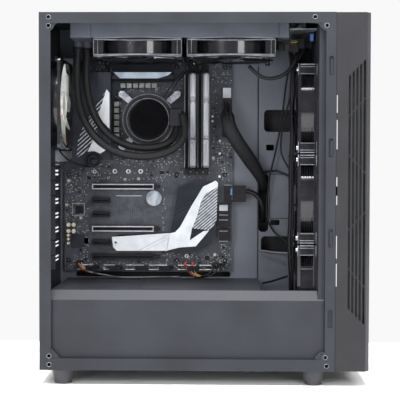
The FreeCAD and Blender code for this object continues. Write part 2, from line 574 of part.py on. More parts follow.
def psu_inlet():
    x0 = psu[0]
    shell = slab(x0 - 1.5, x0 + 16.0, 28.4, 55.1, 62.4, 84.1)
    room = slab(x0 - 2.5, x0 + 13.5, 30.6, 52.9, 64.6, 81.9)
    pins = [slab(x0 + 2.0, x0 + 14.0, y - 1.0, y + 1.0, z - 2.0, z + 2.0) for y, z in ((36.0, 71.5), (47.5, 71.5), (41.8, 76.5))]
    bezel = plate("x", x0 - 1.5, 1.4, rounded(34.4, 48.6, 40.4, 60.6, 1), [rect(36.6, 46.4, 43.0, 58.0)])
    well = [slab(x0 - 0.1, x0 + 10.0, 34.4, 36.4, 40.4, 60.6), slab(x0 - 0.1, x0 + 10.0, 46.6, 48.6, 40.4, 60.6)]
    return [joined(shell.cut(room), *pins), joined(bezel, *well)]


def psu_switch():
    side = [(-3.0, -5.6), (-0.6, 0.0), (-1.2, 5.6), (5.0, 5.6), (5.0, -5.6)]
    x0 = psu[0]
    points = [(x0 + x, 50.5 + z) for x, z in side]
    trunnion = rod("y", 36.7, x0 + 3.0, 50.5, 1.3, 9.6)
    return joined(plate("y", 37.0, 9.0, points), trunnion)


def drive_cage():
    x0, x1, y0, y1 = 176.0, 332.0, -62.0, 60.0
    vents = slots(x0 + 14, x1 - 14, 30, 58, 2, 6.0) + slots(x0 + 14, x1 - 14, 66, 94, 2, 6.0)
    walls = [plate("y", y, sheet, rect(x0, x1, 20.0, 100.0), vents) for y in (y0, y1 - sheet)]
    lid = plate("z", 99.0, sheet, rect(x0, x1, y0 + sheet, y1 - sheet), [rounded(x0 + 25, x1 - 25, -30, 30, 8)])
    shelves = [slab(x0, x1, y, y + 5.0, z, z + sheet) for z in (26.0, 62.0) for y in (y0 + sheet, y1 - sheet - 5.0)]
    return joined(*walls, lid, *shelves)


def drive_trays():
    made = []
    for z in (27.2, 63.2):
        base = plate("z", z, 2.0, rect(178.0, 328.0, -60.6, 58.6), [rounded(205, 300, -35, 35, 6)])
        rims = [slab(178.0, 328.0, y, y + 2.4, z + 2.0, z + 24.0) for y in (-60.6, 56.2)]
        handle = slab(328.0, 331.0, -60.6, 58.6, z, z + 26.0).cut(slab(327, 332, -26, 24, z + 8, z + 19))
        made.append(joined(base, *rims, handle))
    return made


def front_io_board():
    card = slab(327.0, 362.6, -66.0, 64.0, 466.6, 468.2)
    usb = []
    for y in (-8.0, 12.5):
        can = slab(331.5, 351.5, y, y + 15.0, 468.2, roof_z + 0.4)
        usb.append(can.cut(slab(333.5, 349.5, y + 2.2, y + 12.8, 472.0, roof_z + 1)).fuse(
            slab(334.5, 348.5, y + 7.0, y + 9.2, 472.0, roof_z - 1.0)))
    jacks = [rod("z", 468.2, 341.5, y, 3.2, roof_z - 468.2 + 0.4).cut(rod("z", 470.0, 341.5, y, 1.8, 20)) for y in (42.0, 54.0)]
    switches = [slab(x - 3, x + 3, y - 3, y + 3, 468.2, 471.4).fuse(rod("z", 471.4, x, y, 1.6, 0.9))
                for x, y in (button_place, reset_place)]
    return joined(card, *usb, *jacks, *switches)


def top_io_strip():
    holes = [rect(332.0, 351.0, -7.5, 6.5), rect(332.0, 351.0, 13.0, 27.0), (341.5, 42.0, 2.6), (341.5, 54.0, 2.6),
             (button_place[0], button_place[1], 7.2), (reset_place[0], reset_place[1], 3.3)]
    return plate("z", roof_z + 0.4, top_z - roof_z - 0.4, rounded(326.0, 380.0, -66.0, 64.0, 4.0), holes)


def button(place, cap_r, stem_r):
    x, y = place
    low = 472.3 + button_travel
    stem = rod("z", low, x, y, stem_r, 478.0 - low)
    cap = rod("z", 478.0, x, y, cap_r, top_z - 478.0)
    return joined(stem, cap)


def board_plugs():
    main = [slab(237.3, 250.9, 48.0, 61.0, 328.1, 380.6)]
    usb = [slab(251.5, 271.9, 61.0, 70.4, 234.0, 258.0)]
    cpu = [slab(27.0, 39.5, 47.0, 60.0, 420.0, 436.0)]
    headers = [slab(x + 1.0, x + 17.0, 53.0, 62.5, 135.4, 140.4) for x in (40.0, 74.0, 186.0)]
    panel = [slab(334.0, 360.0, -16.0, 8.0, 448.0, 466.6)]
    return main + usb + cpu + headers + panel


cord_routes = {
    "atx_cable": (12.6, [(244.1, 47.9, 362.0), (243.8, 31.0, 360.5), (246.5, 21.5, 341.0), (258.0, 27.0, 321.0),
                         (271.5, 38.0, 302.0), (283.0, 50.0, 286.0), (292.5, 59.0, 270.5), (297.2, 70.0, 258.0),
                         (297.4, 86.0, 252.0)]),
    "front_io_cable": (5.0, [(273.9, -20, 422.6), (286.3, -21, 409.0), (302.7, -21.5, 404.2), (320.5, -21, 409.0),
                             (332.6, -20, 420.5), (339.0, -17.5, 433.5), (345.0, -10.0, 448.0)]),
    "usb3_cable": (6.5, [(271.9, 65.7, 250.0), (283.0, 64.8, 248.0), (292.0, 63.5, 238.5), (297.0, 65.5, 224.5),
                         (297.6, 74.0, 212.0), (297.2, 88.0, 205.0)]),
}


def right_panel():
    inner = panel_y - sheet
    face = slab(-1.2, steel_depth, inner + 0.05, panel_y, floor_z + 0.4, roof_z - 0.2)
    lip = slab(-1.2, -0.2, 91.0, inner + 0.05, floor_z + 3.0, roof_z - 3.0)
    hooks = []
    for x in panel_hooks:
        for z in panel_hook_levels:
            hooks.append(slab(x, x + 5.0, 101.4, inner + 0.05, z - 2.6, z + 2.6))
            hooks.append(slab(x + 5.0, x + 11.0, 101.4, 102.6, z - 2.6, z + 2.6))
    body = joined(face, lip, *hooks)
    body = body.cut(Part.Compound([rod("x", -3, 97.5, z, 1.7, 4) for z in (60.0, 452.0)]))
    made = [body]
    for z in (60.0, 452.0):
        head = rod("x", -8.0, 97.5, z, 5.6, 6.8)
        neck = rod("x", -1.2, 97.5, z, 1.5, 6.0)
        slot = slab(-9, -6.8, 92, 103, z - 0.5, z + 0.5)
        made.append(head.fuse(neck).cut(slot).removeSplitter())
    return made


def vent_slots():
    """Five upright slots with slanted ends, broken by four slanted bars. Points are (x, z)."""
    x0, x1, count, wide, middle, bar = 401.0, 422.9, 5, 2.9, 252.2, 1.1
    edges = [(151.0, 173.0), (98.0, 122.4), (49.0, 25.4), (-49.0, -25.4), (-98.0, -122.4), (-151.0, -173.0)]
    found = []
    for k in range(count):
        left = x0 + k * (x1 - x0 - wide) / (count - 1)
        right = left + wide
        for upper, lower in zip(edges, edges[1:]):
            shape = []
            for (rear, front), gap, sides in ((lower, bar, (left, right)), (upper, -bar, (right, left))):
                for x in sides:
                    share = (x - x0) / (x1 - x0)
                    shape.append((x, middle + rear + (front - rear) * share + gap))
            found.append(shape)
    return found


def front_panel():
    wall, top, low = 2.6, 484.4, floor_z + 0.6
    notches = [rect(panel_start - 1, panel_start + 1.7, a, b) for a, b in
               ((355.0, 378.0), (308.0, 346.0), (236.0, 272.0), (164.0, 196.0), (130.0, 160.0))]
    outline = rect(panel_start, plate_start, low, top)
    sides = []
    for y in (open_y, panel_y - wall):
        wallpiece = plate("y", y, wall, outline, vent_slots())
        sides.append(wallpiece.cut(Part.Compound([plate("y", y - 1, wall + 2, n) for n in notches])))
    caps = [slab(panel_start, plate_start, open_y + wall, panel_y - wall, z, z + wall) for z in (low, top - wall)]
    front = plate("x", plate_start - 1.6, 1.6, rect(open_y + wall, panel_y - wall, low + wall, top - wall),
                  [rounded(-78, 78, 60, 444, 6)])
    ribs = [slab(panel_start + 6, plate_start - wall, s * 96 - 1.0, s * 96 + 1.0, low + wall, top - wall) for s in (-1, 1)]
    ribs = [r.cut(slab(395, 440, -120, 120, 84, 420)) for r in ribs]
    clips = []
    for s in (-1, 1):
        for z in (50.0, 252.0, 455.0):
            clips.append(slab(fan_plane + 0.2, plate_start - 1.6, s * 90 - 2.4, s * 90 + 2.4, z - 4.4, z + 4.4))
    return joined(*sides, *caps, front, *clips, *ribs)


def front_plate():
    skin = slab(plate_start, panel_end, open_y + 0.6, panel_y - 0.6, floor_z + 1.2, 484.0)
    return skin.makeChamfer(1.0, [e for e in skin.Edges if abs(e.BoundBox.XMin - panel_end) < 0.01])


def top_filter():
    cells = slots(38, 318, -66, 66, 22, 4.6)
    return plate("z", roof_z, top_z - roof_z, rounded(31.0, 323.5, -72.0, 72.0, 5), cells)


def psu_filter():
    low, high = filter_slide_z, filter_slide_z + 3.0
    frame = plate("z", low, 3.0, rounded(-0.5, 150.0, -filter_slide_y, filter_slide_y, 3), [rounded(8, 142, -54, 54, 3)])
    mesh = slab(8.0, 142.0, -54.0, 54.0, low + 0.8, low + 1.4)
    bars = [slab(8.0, 142.0, y - 1.0, y + 1.0, low, low + 3.0) for y in (-27.0, 0.0, 27.0)]
    pull = slab(-1.5, -0.5, -14.0, 14.0, low, low + 3.0)
    return joined(frame, mesh, *bars, pull)


def filter_guides():
    made = []
    for s in (-1, 1):
        inner, outer = sorted((s * (filter_slide_y + 0.4), s * (filter_slide_y + 3.4)))
        side = slab(2.0, 150.0, inner, outer, filter_slide_z - 2.0, floor_z)
        lip_a, lip_b = sorted((s * (filter_slide_y - 4.0), s * (filter_slide_y + 0.4)))
        lip = slab(2.0, 150.0, lip_a, lip_b, filter_slide_z - 2.0, filter_slide_z - 0.4)
        made.append(joined(side, lip))
    return made


def build():
    nodes = {}
    nodes["rear_wall"] = rear_wall()
    nodes["floor_pan"] = [floor_pan(), *filter_guides()]
    nodes["roof_frame"] = roof_frame()
    nodes["front_frame"] = front_frame()
    nodes["motherboard_tray"] = motherboard_tray()
    nodes["psu_shroud"] = psu_shroud()
    nodes["feet"] = feet()
    nodes["screws"] = screws()
    nodes["slot_covers"] = slot_covers()
    nodes["motherboard"] = motherboard()
    nodes["io_ports"] = io_ports()
    nodes["io_cover"] = io_cover()
    nodes["vrm_heatsink"] = vrm_heatsink()
    nodes["chipset_heatsink"] = chipset_heatsink()
    nodes["m2_shield"] = m2_shield()
    nodes["m2_drive"] = m2_drive()
    nodes["expansion_slots"] = expansion_slots()
    nodes["dimm_slots"] = dimm_slots()
    nodes["memory_modules"] = memory_modules()
    nodes["coin_cell"] = coin_cell()
    nodes["board_sockets"] = board_sockets()
    nodes["sata_ports"] = sata_ports()
    nodes["processor"] = processor()
    nodes["pump_body"] = pump_body()
    nodes["pump_bracket"] = pump_bracket()
    nodes["radiator"] = radiator()
    inner, outer = coolant_routes()
    nodes["coolant_tube_inner"] = cord("coolant_tube_inner", inner, 10.6)
    nodes["coolant_tube_outer"] = cord("coolant_tube_outer", outer, 10.6)
    nodes["rear_fan_frame"] = fan_frame("x", rear_fan)
    nodes["top_fan_frames"] = [fan_frame("z", f) for f in top_fans]
    nodes["front_fan_frames"] = [fan_frame("x", f) for f in front_fans]
    nodes["rear_fan_rotor"] = rotor("x", rear_fan)
    for k, f in enumerate(top_fans):
        nodes[f"top_fan_rotor_{k + 1}"] = rotor("z", f)
    for k, f in enumerate(front_fans):
        nodes[f"front_fan_rotor_{k + 1}"] = rotor("x", f)
    nodes["psu_fan_rotor"] = rotor("z", (psu_fan[0], psu_fan[1], psu_fan[2] + 4.0))
    nodes["psu_housing"] = psu_housing()
    nodes["psu_inlet"] = psu_inlet()
    nodes["psu_switch"] = psu_switch()
    nodes["drive_cage"] = drive_cage()
    nodes["drive_trays"] = drive_trays()
    nodes["front_io_board"] = front_io_board()
    nodes["top_io_strip"] = top_io_strip()
    nodes["power_button"] = button(button_place, 6.9, 2.4)
    nodes["reset_button"] = button(reset_place, 3.0, 1.6)
    nodes["board_plugs"] = board_plugs()
    for name, (diameter, points) in cord_routes.items():
        nodes[name] = cord(name, points, diameter)
    nodes["right_panel"] = right_panel()
    nodes["front_panel"] = front_panel()
    nodes["front_plate"] = front_plate()
    nodes["top_filter"] = top_filter()
    nodes["psu_filter"] = psu_filter()
    for k, x in enumerate(dimm_places):
        nodes[f"dimm_latch_{k + 1}"] = dimm_latch(x)
    return nodes


os.makedirs("parts", exist_ok=True)
for name, shape in build().items():
    pieces = shape if isinstance(shape, list) else [shape]
    solids = [s for piece in pieces for s in piece.Solids]
    whole = solids[0] if len(solids) == 1 else Part.Compound(solids)
    whole.translate(V(rear_x, 0, 0))
    if not whole.isValid() or not solids:
        print("bad shape:", name)
    whole.exportStep(f"parts/{name}.step")
    print(f"{name}: {len(solids)} solid(s), {sum(s.Volume for s in solids) / 1000:.1f} cm3")
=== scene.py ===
import math
import bpy
import numpy as np
from mathutils import Matrix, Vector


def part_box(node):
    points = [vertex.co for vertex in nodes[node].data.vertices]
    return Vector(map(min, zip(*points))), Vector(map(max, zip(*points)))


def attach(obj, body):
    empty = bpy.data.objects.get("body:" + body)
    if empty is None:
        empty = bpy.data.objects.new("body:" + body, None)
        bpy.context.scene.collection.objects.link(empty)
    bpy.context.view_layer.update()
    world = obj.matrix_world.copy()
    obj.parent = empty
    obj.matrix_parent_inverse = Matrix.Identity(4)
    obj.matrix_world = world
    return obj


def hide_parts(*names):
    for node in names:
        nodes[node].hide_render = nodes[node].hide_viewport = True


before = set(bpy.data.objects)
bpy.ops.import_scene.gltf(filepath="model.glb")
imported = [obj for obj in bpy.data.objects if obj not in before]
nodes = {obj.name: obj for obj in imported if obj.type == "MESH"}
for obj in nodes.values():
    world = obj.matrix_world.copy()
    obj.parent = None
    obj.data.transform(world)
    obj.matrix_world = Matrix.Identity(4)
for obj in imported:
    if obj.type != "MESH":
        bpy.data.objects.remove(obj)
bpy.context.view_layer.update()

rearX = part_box("rear_wall")[0][0]
mm = 0.001
rng = np.random.default_rng(7)
print("frame loaded:", len(nodes), "nodes")


def toRow(points):
    # Places in millimetres, counted forward from the steel rear face, as row-frame metres.
    return np.asarray(points, float) * mm + np.array([rearX, 0.0, 0.0])


# colours and material nodes
def toLinear(hexText):
    # sRGB hex to linear: under 0.04045 divide by 12.92, above it the 2.4 power curve.
    values = [int(hexText[k:k + 2], 16) / 255 for k in (0, 2, 4)]
    return [v / 12.92 if v <= 0.04045 else ((v + 0.055) / 1.055) ** 2.4 for v in values] + [1.0]


def addNode(tree, kind, settings=None, links=None):
    # Adds one node, sets its inputs, properties or ramp stops, and links its inputs to other nodes'
    # outputs.
    node = tree.nodes.new("ShaderNode" + kind)
    for key, value in (settings or {}).items():
        if key == "stops":
            while len(node.color_ramp.elements) < len(value):
                node.color_ramp.elements.new(1.0)
            for element, (place, hexText) in zip(node.color_ramp.elements, value):
                element.position = place
                element.color = toLinear(hexText)
        elif isinstance(key, int) or key in node.inputs:
            node.inputs[key].default_value = value
        else:
            setattr(node, key, value)
    for key, source in (links or {}).items():
        tree.links.new(source, node.inputs[key])
    return node


def newMaterial(name, look):
    made = bpy.data.materials.new(name)
    made.use_nodes = True
    tree = made.node_tree
    shader = tree.nodes["Principled BSDF"]
    for socket, key in (("Metallic", "metallic"), ("Coat Weight", "coat"), ("Coat Roughness", "coatRough"),
                        ("Transmission Weight", "clear"), ("Subsurface Weight", "glow"),
                        ("Specular IOR Level", "shine")):
        if key in look:
            shader.inputs[socket].default_value = look[key]
    return made, tree, shader


def grained(name, look):
    # A sprayed, moulded or plated skin: cloudy colour between two hex values, and a fine grain in the
    # bump.
    made, tree, shader = newMaterial(name, look)
    where = addNode(tree, "TexCoord").outputs["Object"]
    stretch = addNode(tree, "Mapping", {"Scale": look.get("stretch", (1, 1, 1))},
                      {"Vector": where}).outputs["Vector"]
    cloud = addNode(tree, "TexNoise", {"Scale": 1 / (look["cloudMm"] * mm), "Detail": 4.0},
                    {"Vector": stretch})
    grain = addNode(tree, "TexNoise", {"Scale": 1 / (look["grainMm"] * mm), "Detail": 3.0},
                    {"Vector": stretch})
    tint = addNode(tree, "ValToRGB", {"stops": [(0.32, look["dark"]), (0.68, look["light"])]},
                   {"Fac": cloud.outputs["Fac"]})
    speck = addNode(tree, "ValToRGB", {"stops": [(0.35, "b8b8b8"), (0.65, "ffffff")]},
                    {"Fac": grain.outputs["Fac"]})
    both = addNode(tree, "MixRGB", {"blend_type": "MULTIPLY", "Fac": look.get("speck", 0.4)},
                   {"Color1": tint.outputs["Color"], "Color2": speck.outputs["Color"]})
    gloss = addNode(tree, "MapRange", {"To Min": look["rough"] - 0.06, "To Max": look["rough"] + 0.06},
                    {"Value": cloud.outputs["Fac"]})
    bump = addNode(tree, "Bump", {"Strength": look["bump"], "Distance": look["deepMm"] * mm},
                   {"Height": grain.outputs["Fac"]})
    tree.links.new(both.outputs["Color"], shader.inputs["Base Color"])
    tree.links.new(gloss.outputs["Result"], shader.inputs["Roughness"])
    tree.links.new(bump.outputs["Normal"], shader.inputs["Normal"])
    return made


# Each look is the real finish, except where its comment says light or shade is painted in. Grains finer than
# about 1.2 mm would not show, so they are drawn that coarse.
looks = {
    # powder-coated steel sheet: matt slate grey with a slight orange peel
    "powderCoatSteel": {"shine": 0.2, "dark": "25272c", "light": "2d2f35", "cloudMm": 60, "grainMm": 1.3,
                        "rough": 0.5, "bump": 0.12,
                        "deepMm": 0.05, "speck": 0.22},
    # the tray is the same sheet, painted lighter and bluer than the rest of the case steel: painted light,
    # for the stronger light that falls on it
    "powderCoatTrayPaintedLight": {"dark": "50545e", "light": "5a5e69", "cloudMm": 45, "grainMm": 1.3, "rough": 0.52,
                       "bump": 0.14,
                       "deepMm": 0.05, "speck": 0.25},
    # moulded ABS, spark-eroded texture
    "texturedAbs": {"shine": 0.2, "dark": "242427", "light": "2b2b2e", "cloudMm": 40, "grainMm": 1.2,
                    "rough": 0.56, "bump": 0.2,
                    "deepMm": 0.06, "speck": 0.3},
    "paintedFrontSheet": {"shine": 0.3, "dark": "2b2d31", "light": "333539", "cloudMm": 80, "grainMm": 1.5,
                          "rough": 0.34, "bump": 0.05,
                          "deepMm": 0.04, "speck": 0.15, "coat": 0.25},
    "mouldedRubber": {"shine": 0.25, "dark": "36363a", "light": "404043", "cloudMm": 14, "grainMm": 1.2,
                      "rough": 0.5, "bump": 0.2,
                      "deepMm": 0.06},
    "zincPlate": {"dark": "a9adb4", "light": "d5d8dd", "cloudMm": 4, "grainMm": 1.2, "rough": 0.28,
                  "bump": 0.1,
                  "deepMm": 0.02, "metallic": 1.0, "speck": 0.2},
    "blackNylon": {"shine": 0.15, "dark": "121216", "light": "1d1d22", "cloudMm": 6, "grainMm": 1.2,
                   "rough": 0.38, "bump": 0.12,
                   "deepMm": 0.04},
    "tinnedSteel": {"dark": "8d9198", "light": "b4b8bf", "cloudMm": 9, "grainMm": 1.2, "rough": 0.32,
                    "bump": 0.08,
                    "deepMm": 0.02, "metallic": 0.9, "speck": 0.2, "stretch": (1, 1, 0.15)},
    "darkShroudPlastic": {"shine": 0.15, "dark": "24272e", "light": "30343c", "cloudMm": 18, "grainMm": 1.3,
                          "rough": 0.42, "bump": 0.1,
                          "deepMm": 0.04},
    "anodisedBlack": {"shine": 0.2, "dark": "1f2127", "light": "2b2e35", "cloudMm": 20, "grainMm": 1.2,
                      "rough": 0.36, "bump": 0.15,
                      "deepMm": 0.03, "metallic": 0.6, "stretch": (0.12, 1, 1)},
    "whitePaint": {"dark": "c2c6cc", "light": "d8dbe0", "cloudMm": 16, "grainMm": 1.4, "rough": 0.34,
                   "bump": 0.06,
                   "deepMm": 0.03, "speck": 0.08},
    "greyPrint": {"dark": "8f939b", "light": "a6aab2", "cloudMm": 12, "grainMm": 1.3, "rough": 0.4,
                  "bump": 0.06,
                  "deepMm": 0.03, "speck": 0.2},
    "anodisedSpreader": {"dark": "85878c", "light": "a3a6ac", "cloudMm": 18, "grainMm": 1.2, "rough": 0.34,
                         "bump": 0.12,
                         "deepMm": 0.03, "metallic": 0.55, "stretch": (1, 1, 0.1)},
    "cellSteel": {"dark": "7d828b", "light": "b9bfc8", "cloudMm": 7, "grainMm": 1.2, "rough": 0.3,
                  "bump": 0.1,
                  "deepMm": 0.03, "metallic": 0.85, "stretch": (1, 1, 0.3)},
    "polishedBlack": {"dark": "060609", "light": "09090c", "cloudMm": 20, "grainMm": 2.0, "rough": 0.14,
                      "bump": 0.01,
                      "deepMm": 0.01, "shine": 0.08, "speck": 0.05},
    "satinBlackAbs": {"shine": 0.18, "dark": "17171b", "light": "202126", "cloudMm": 12, "grainMm": 1.2,
                      "rough": 0.36, "bump": 0.08,
                      "deepMm": 0.03},
    "turnedAluminium": {"dark": "a6abb6", "light": "ced2da", "cloudMm": 6, "grainMm": 1.2, "rough": 0.25,
                        "bump": 0.05,
                        "deepMm": 0.02, "metallic": 1.0, "speck": 0.1},
    "radiatorPaint": {"shine": 0.3, "dark": "464a53", "light": "50545e", "cloudMm": 30, "grainMm": 1.3,
                      "rough": 0.42, "bump": 0.12,
                      "deepMm": 0.04, "speck": 0.2},
    "fanFrameAbs": {"shine": 0.25, "dark": "15151a", "light": "1f1f25", "cloudMm": 14, "grainMm": 1.6,
                    "rough": 0.16, "bump": 0.03,
                    "deepMm": 0.02, "coat": 0.5},
    # milky polycarbonate: light comes a little way through the blades
    "milkyPolycarbonate": {"dark": "c9c5bd", "light": "e2dfd8", "cloudMm": 22, "grainMm": 1.6, "rough": 0.3,
                           "bump": 0.04,
                           "deepMm": 0.02, "glow": 0.25, "speck": 0.1},
    "meshCloth": {"dark": "1c1d21", "light": "27292e", "cloudMm": 8, "grainMm": 1.2, "rough": 0.7,
                  "bump": 0.5,
                  "deepMm": 0.2},
    "goldPlate": {"dark": "a88748", "light": "c9a865", "cloudMm": 5, "grainMm": 1.2, "rough": 0.3,
                  "bump": 0.05,
                  "deepMm": 0.02, "metallic": 1.0},
    "ceramicTan": {"dark": "8f8a7c", "light": "b9b3a3", "cloudMm": 5, "grainMm": 1.2, "rough": 0.45,
                   "bump": 0.05,
                   "deepMm": 0.02},
    "solderTin": {"dark": "9aa0a8", "light": "d9dde3", "cloudMm": 3, "grainMm": 1.2, "rough": 0.3,
                  "bump": 0.05,
                  "deepMm": 0.02, "metallic": 0.6},
    "chokeFerrite": {"shine": 0.3, "dark": "8c918f", "light": "a7acaa", "cloudMm": 6, "grainMm": 1.2,
                     "rough": 0.55, "bump": 0.2,
                     "deepMm": 0.04},
    "whiteSilk": {"dark": "c9cdd2", "light": "e6e9ec", "cloudMm": 6, "grainMm": 1.2, "rough": 0.5,
                  "bump": 0.02,
                  "deepMm": 0.01},
    "blueAbs": {"dark": "3a5f96", "light": "4d76b0", "cloudMm": 6, "grainMm": 1.2, "rough": 0.4,
                "bump": 0.05,
                "deepMm": 0.02},
    "redPvc": {"dark": "a32b26", "light": "c03a32", "cloudMm": 6, "grainMm": 1.2, "rough": 0.4,
               "bump": 0.05,
               "deepMm": 0.02},
    "yellowPvc": {"dark": "b3902c", "light": "cfae3f", "cloudMm": 6, "grainMm": 1.2, "rough": 0.4,
                  "bump": 0.05,
                  "deepMm": 0.02},
    "greenPvc": {"dark": "2f6b45", "light": "3d8157", "cloudMm": 6, "grainMm": 1.2, "rough": 0.4,
                 "bump": 0.05,
                 "deepMm": 0.02},
    "orangeAbs": {"dark": "b5562a", "light": "cf6b38", "cloudMm": 6, "grainMm": 1.2, "rough": 0.4,
                  "bump": 0.05,
                  "deepMm": 0.02},
    "paleAnodised": {"dark": "8e99a8", "light": "b4bfcd", "cloudMm": 14, "grainMm": 1.2, "rough": 0.36,
                     "bump": 0.06,
                     "deepMm": 0.02, "metallic": 0.3, "speck": 0.1},
    "fieldSilver": {"dark": "8d9199", "light": "b9bdc4", "cloudMm": 5, "grainMm": 1.2, "rough": 0.4,
                    "bump": 0.1,
                    "deepMm": 0.03, "metallic": 0.2},
    "claddingSteel": {"dark": "a3a3a8", "light": "bebec2", "cloudMm": 12, "grainMm": 1.2, "rough": 0.3,
                      "bump": 0.04,
                      "deepMm": 0.02, "metallic": 0.2, "speck": 0.1},
    "brightSpreader": {"dark": "7d7f87", "light": "a9abb3", "cloudMm": 10, "grainMm": 1.2, "rough": 0.3,
                       "bump": 0.05,
                       "deepMm": 0.02, "metallic": 0.35, "speck": 0.15, "stretch": (1, 1, 0.1)},
    "paleGold": {"dark": "c3b9a2", "light": "e2dccb", "cloudMm": 3, "grainMm": 1.2, "rough": 0.32,
                 "bump": 0.05,
                 "deepMm": 0.02, "metallic": 0.4},
    # the right panel's powder coat, painted darker than the rest of the case steel so the view through the
    # tray's cut-outs stays dark: painted shade
    "panelSteelPaintedShade": {"shine": 0.2, "dark": "1a1b1f", "light": "232429", "cloudMm": 60, "grainMm": 1.3,
                   "rough": 0.5, "bump": 0.12,
                   "deepMm": 0.05, "speck": 0.22},
    # pale grey: the pump's trim rings, and highlights painted along the fan frames' rim edges and round the
    # ear holes
    "paleTrimAndPaintedHighlight": {"dark": "5c5f66", "light": "85888f", "cloudMm": 9, "grainMm": 1.2, "rough": 0.3,
                 "bump": 0.03,
                 "deepMm": 0.02, "speck": 0.2},
    "blackOxide": {"dark": "15161a", "light": "24262b", "cloudMm": 3, "grainMm": 1.2, "rough": 0.4,
                   "bump": 0.1,
                   "deepMm": 0.02, "metallic": 0.5},
    "greyPvc": {"dark": "4a4b50", "light": "5d5e63", "cloudMm": 8, "grainMm": 1.3, "rough": 0.42,
                "bump": 0.1,
                "deepMm": 0.03},
    "blackPvc": {"shine": 0.2, "dark": "101013", "light": "19191d", "cloudMm": 8, "grainMm": 1.3,
                 "rough": 0.42, "bump": 0.1,
                 "deepMm": 0.03},
}
finish = {name: grained(name, look) for name, look in looks.items()}


def solderMask(name):
    # Dark solder mask over copper: parallel tracks in blocks, at right angles and slanted, under a satin
    # varnish.
    made, tree, shader = newMaterial(name, {"coat": 0.2, "coatRough": 0.3})
    where = addNode(tree, "TexCoord").outputs["Object"]
    heights = []
    for turn, pitchMm in ((0.0, 1.5), (math.radians(45), 1.9)):
        turned = addNode(tree, "Mapping", {"Rotation": (math.radians(90), turn, 0)}, {"Vector": where})
        blocks = addNode(tree, "TexVoronoi", {"Scale": 1 / (26 * mm), "distance": "MANHATTAN"},
                         {"Vector": turned.outputs["Vector"]})
        wave = addNode(tree, "TexWave", {"Scale": 0.314 / (pitchMm * mm), "Distortion": 0.4, "Detail": 1.0},
                       {"Vector": turned.outputs["Vector"]})
        keep = addNode(tree, "Math", {"operation": "GREATER_THAN", 1: 0.5}, {0: blocks.outputs["Color"]})
        heights.append(addNode(tree, "Math", {"operation": "MULTIPLY"},
                               {0: wave.outputs["Fac"], 1: keep.outputs["Value"]}))
    tracks = addNode(tree, "Math", {"operation": "MAXIMUM"},
                     {0: heights[0].outputs["Value"], 1: heights[1].outputs["Value"]})
    tint = addNode(tree, "ValToRGB", {"stops": [(0.25, "33363e"), (0.9, "454952")]},
                   {"Fac": tracks.outputs["Value"]})
    cloud = addNode(tree, "TexNoise", {"Scale": 1 / (9 * mm), "Detail": 6.0, "Roughness": 0.7},
                    {"Vector": where})
    spots = addNode(tree, "ValToRGB", {"stops": [(0.35, "a8a8ac"), (0.6, "ffffff")]},
                    {"Fac": cloud.outputs["Fac"]})
    both = addNode(tree, "MixRGB", {"blend_type": "MULTIPLY", "Fac": 0.8},
                   {"Color1": tint.outputs["Color"], "Color2": spots.outputs["Color"]})
    bump = addNode(tree, "Bump", {"Strength": 0.3, "Distance": 0.05 * mm},
                   {"Height": tracks.outputs["Value"]})
    shader.inputs["Specular IOR Level"].default_value = 0.25
    shader.inputs["Roughness"].default_value = 0.42
    tree.links.new(both.outputs["Color"], shader.inputs["Base Color"])
    tree.links.new(bump.outputs["Normal"], shader.inputs["Normal"])
    return made


def wovenSleeve(name, look):
    # A braid that follows the cord's own UV: two families of helices that cross, v along and u round.
    made, tree, shader = newMaterial(name, {})
    uv = addNode(tree, "UVMap").outputs["UV"]
    parts = addNode(tree, "SeparateXYZ", {}, {"Vector": uv})
    waves = []
    for sign in (1, -1):
        lean = addNode(tree, "Math", {"operation": "MULTIPLY_ADD", 1: sign * look["starts"]},
                       {0: parts.outputs["X"], 2: addNode(
            tree, "Math", {"operation": "MULTIPLY", 1: 1 / look["pitchMm"]},
                                                          {0: parts.outputs["Y"]}).outputs["Value"]})
        turn = addNode(tree, "Math", {"operation": "MULTIPLY", 1: 2 * math.pi}, {0: lean.outputs["Value"]})
        waves.append(addNode(tree, "Math", {"operation": "SINE"},
                             {0: turn.outputs["Value"]}).outputs["Value"])
    cross = addNode(tree, "Math", {"operation": "MAXIMUM"}, {0: waves[0], 1: waves[1]})
    level = addNode(tree, "MapRange", {"From Min": -0.4, "From Max": 1.0},
                    {"Value": cross.outputs["Value"]})
    tint = addNode(tree, "ValToRGB", {"stops": [(0.2, look["dark"]), (0.9, look["light"])]},
                   {"Fac": level.outputs["Result"]})
    bump = addNode(tree, "Bump", {"Strength": 0.6, "Distance": 0.3 * mm},
                   {"Height": level.outputs["Result"]})
    shader.inputs["Specular IOR Level"].default_value = 0.2
    shader.inputs["Roughness"].default_value = look["rough"]
    tree.links.new(tint.outputs["Color"], shader.inputs["Base Color"])
    tree.links.new(bump.outputs["Normal"], shader.inputs["Normal"])
    return made


finish["solderMask"] = solderMask("solderMask")
finish["braidedNylon"] = wovenSleeve("braidedNylon",
                                     {"starts": 12, "pitchMm": 4.0, "dark": "070709", "light": "191a1e",
                                      "rough": 0.55})
finish["coolantRubber"] = wovenSleeve("coolantRubber",
                                      {"starts": 8, "pitchMm": 2.4, "dark": "0d0d0f", "light": "1a1a1c",
                                       "rough": 0.45})
print("materials:", len(finish))

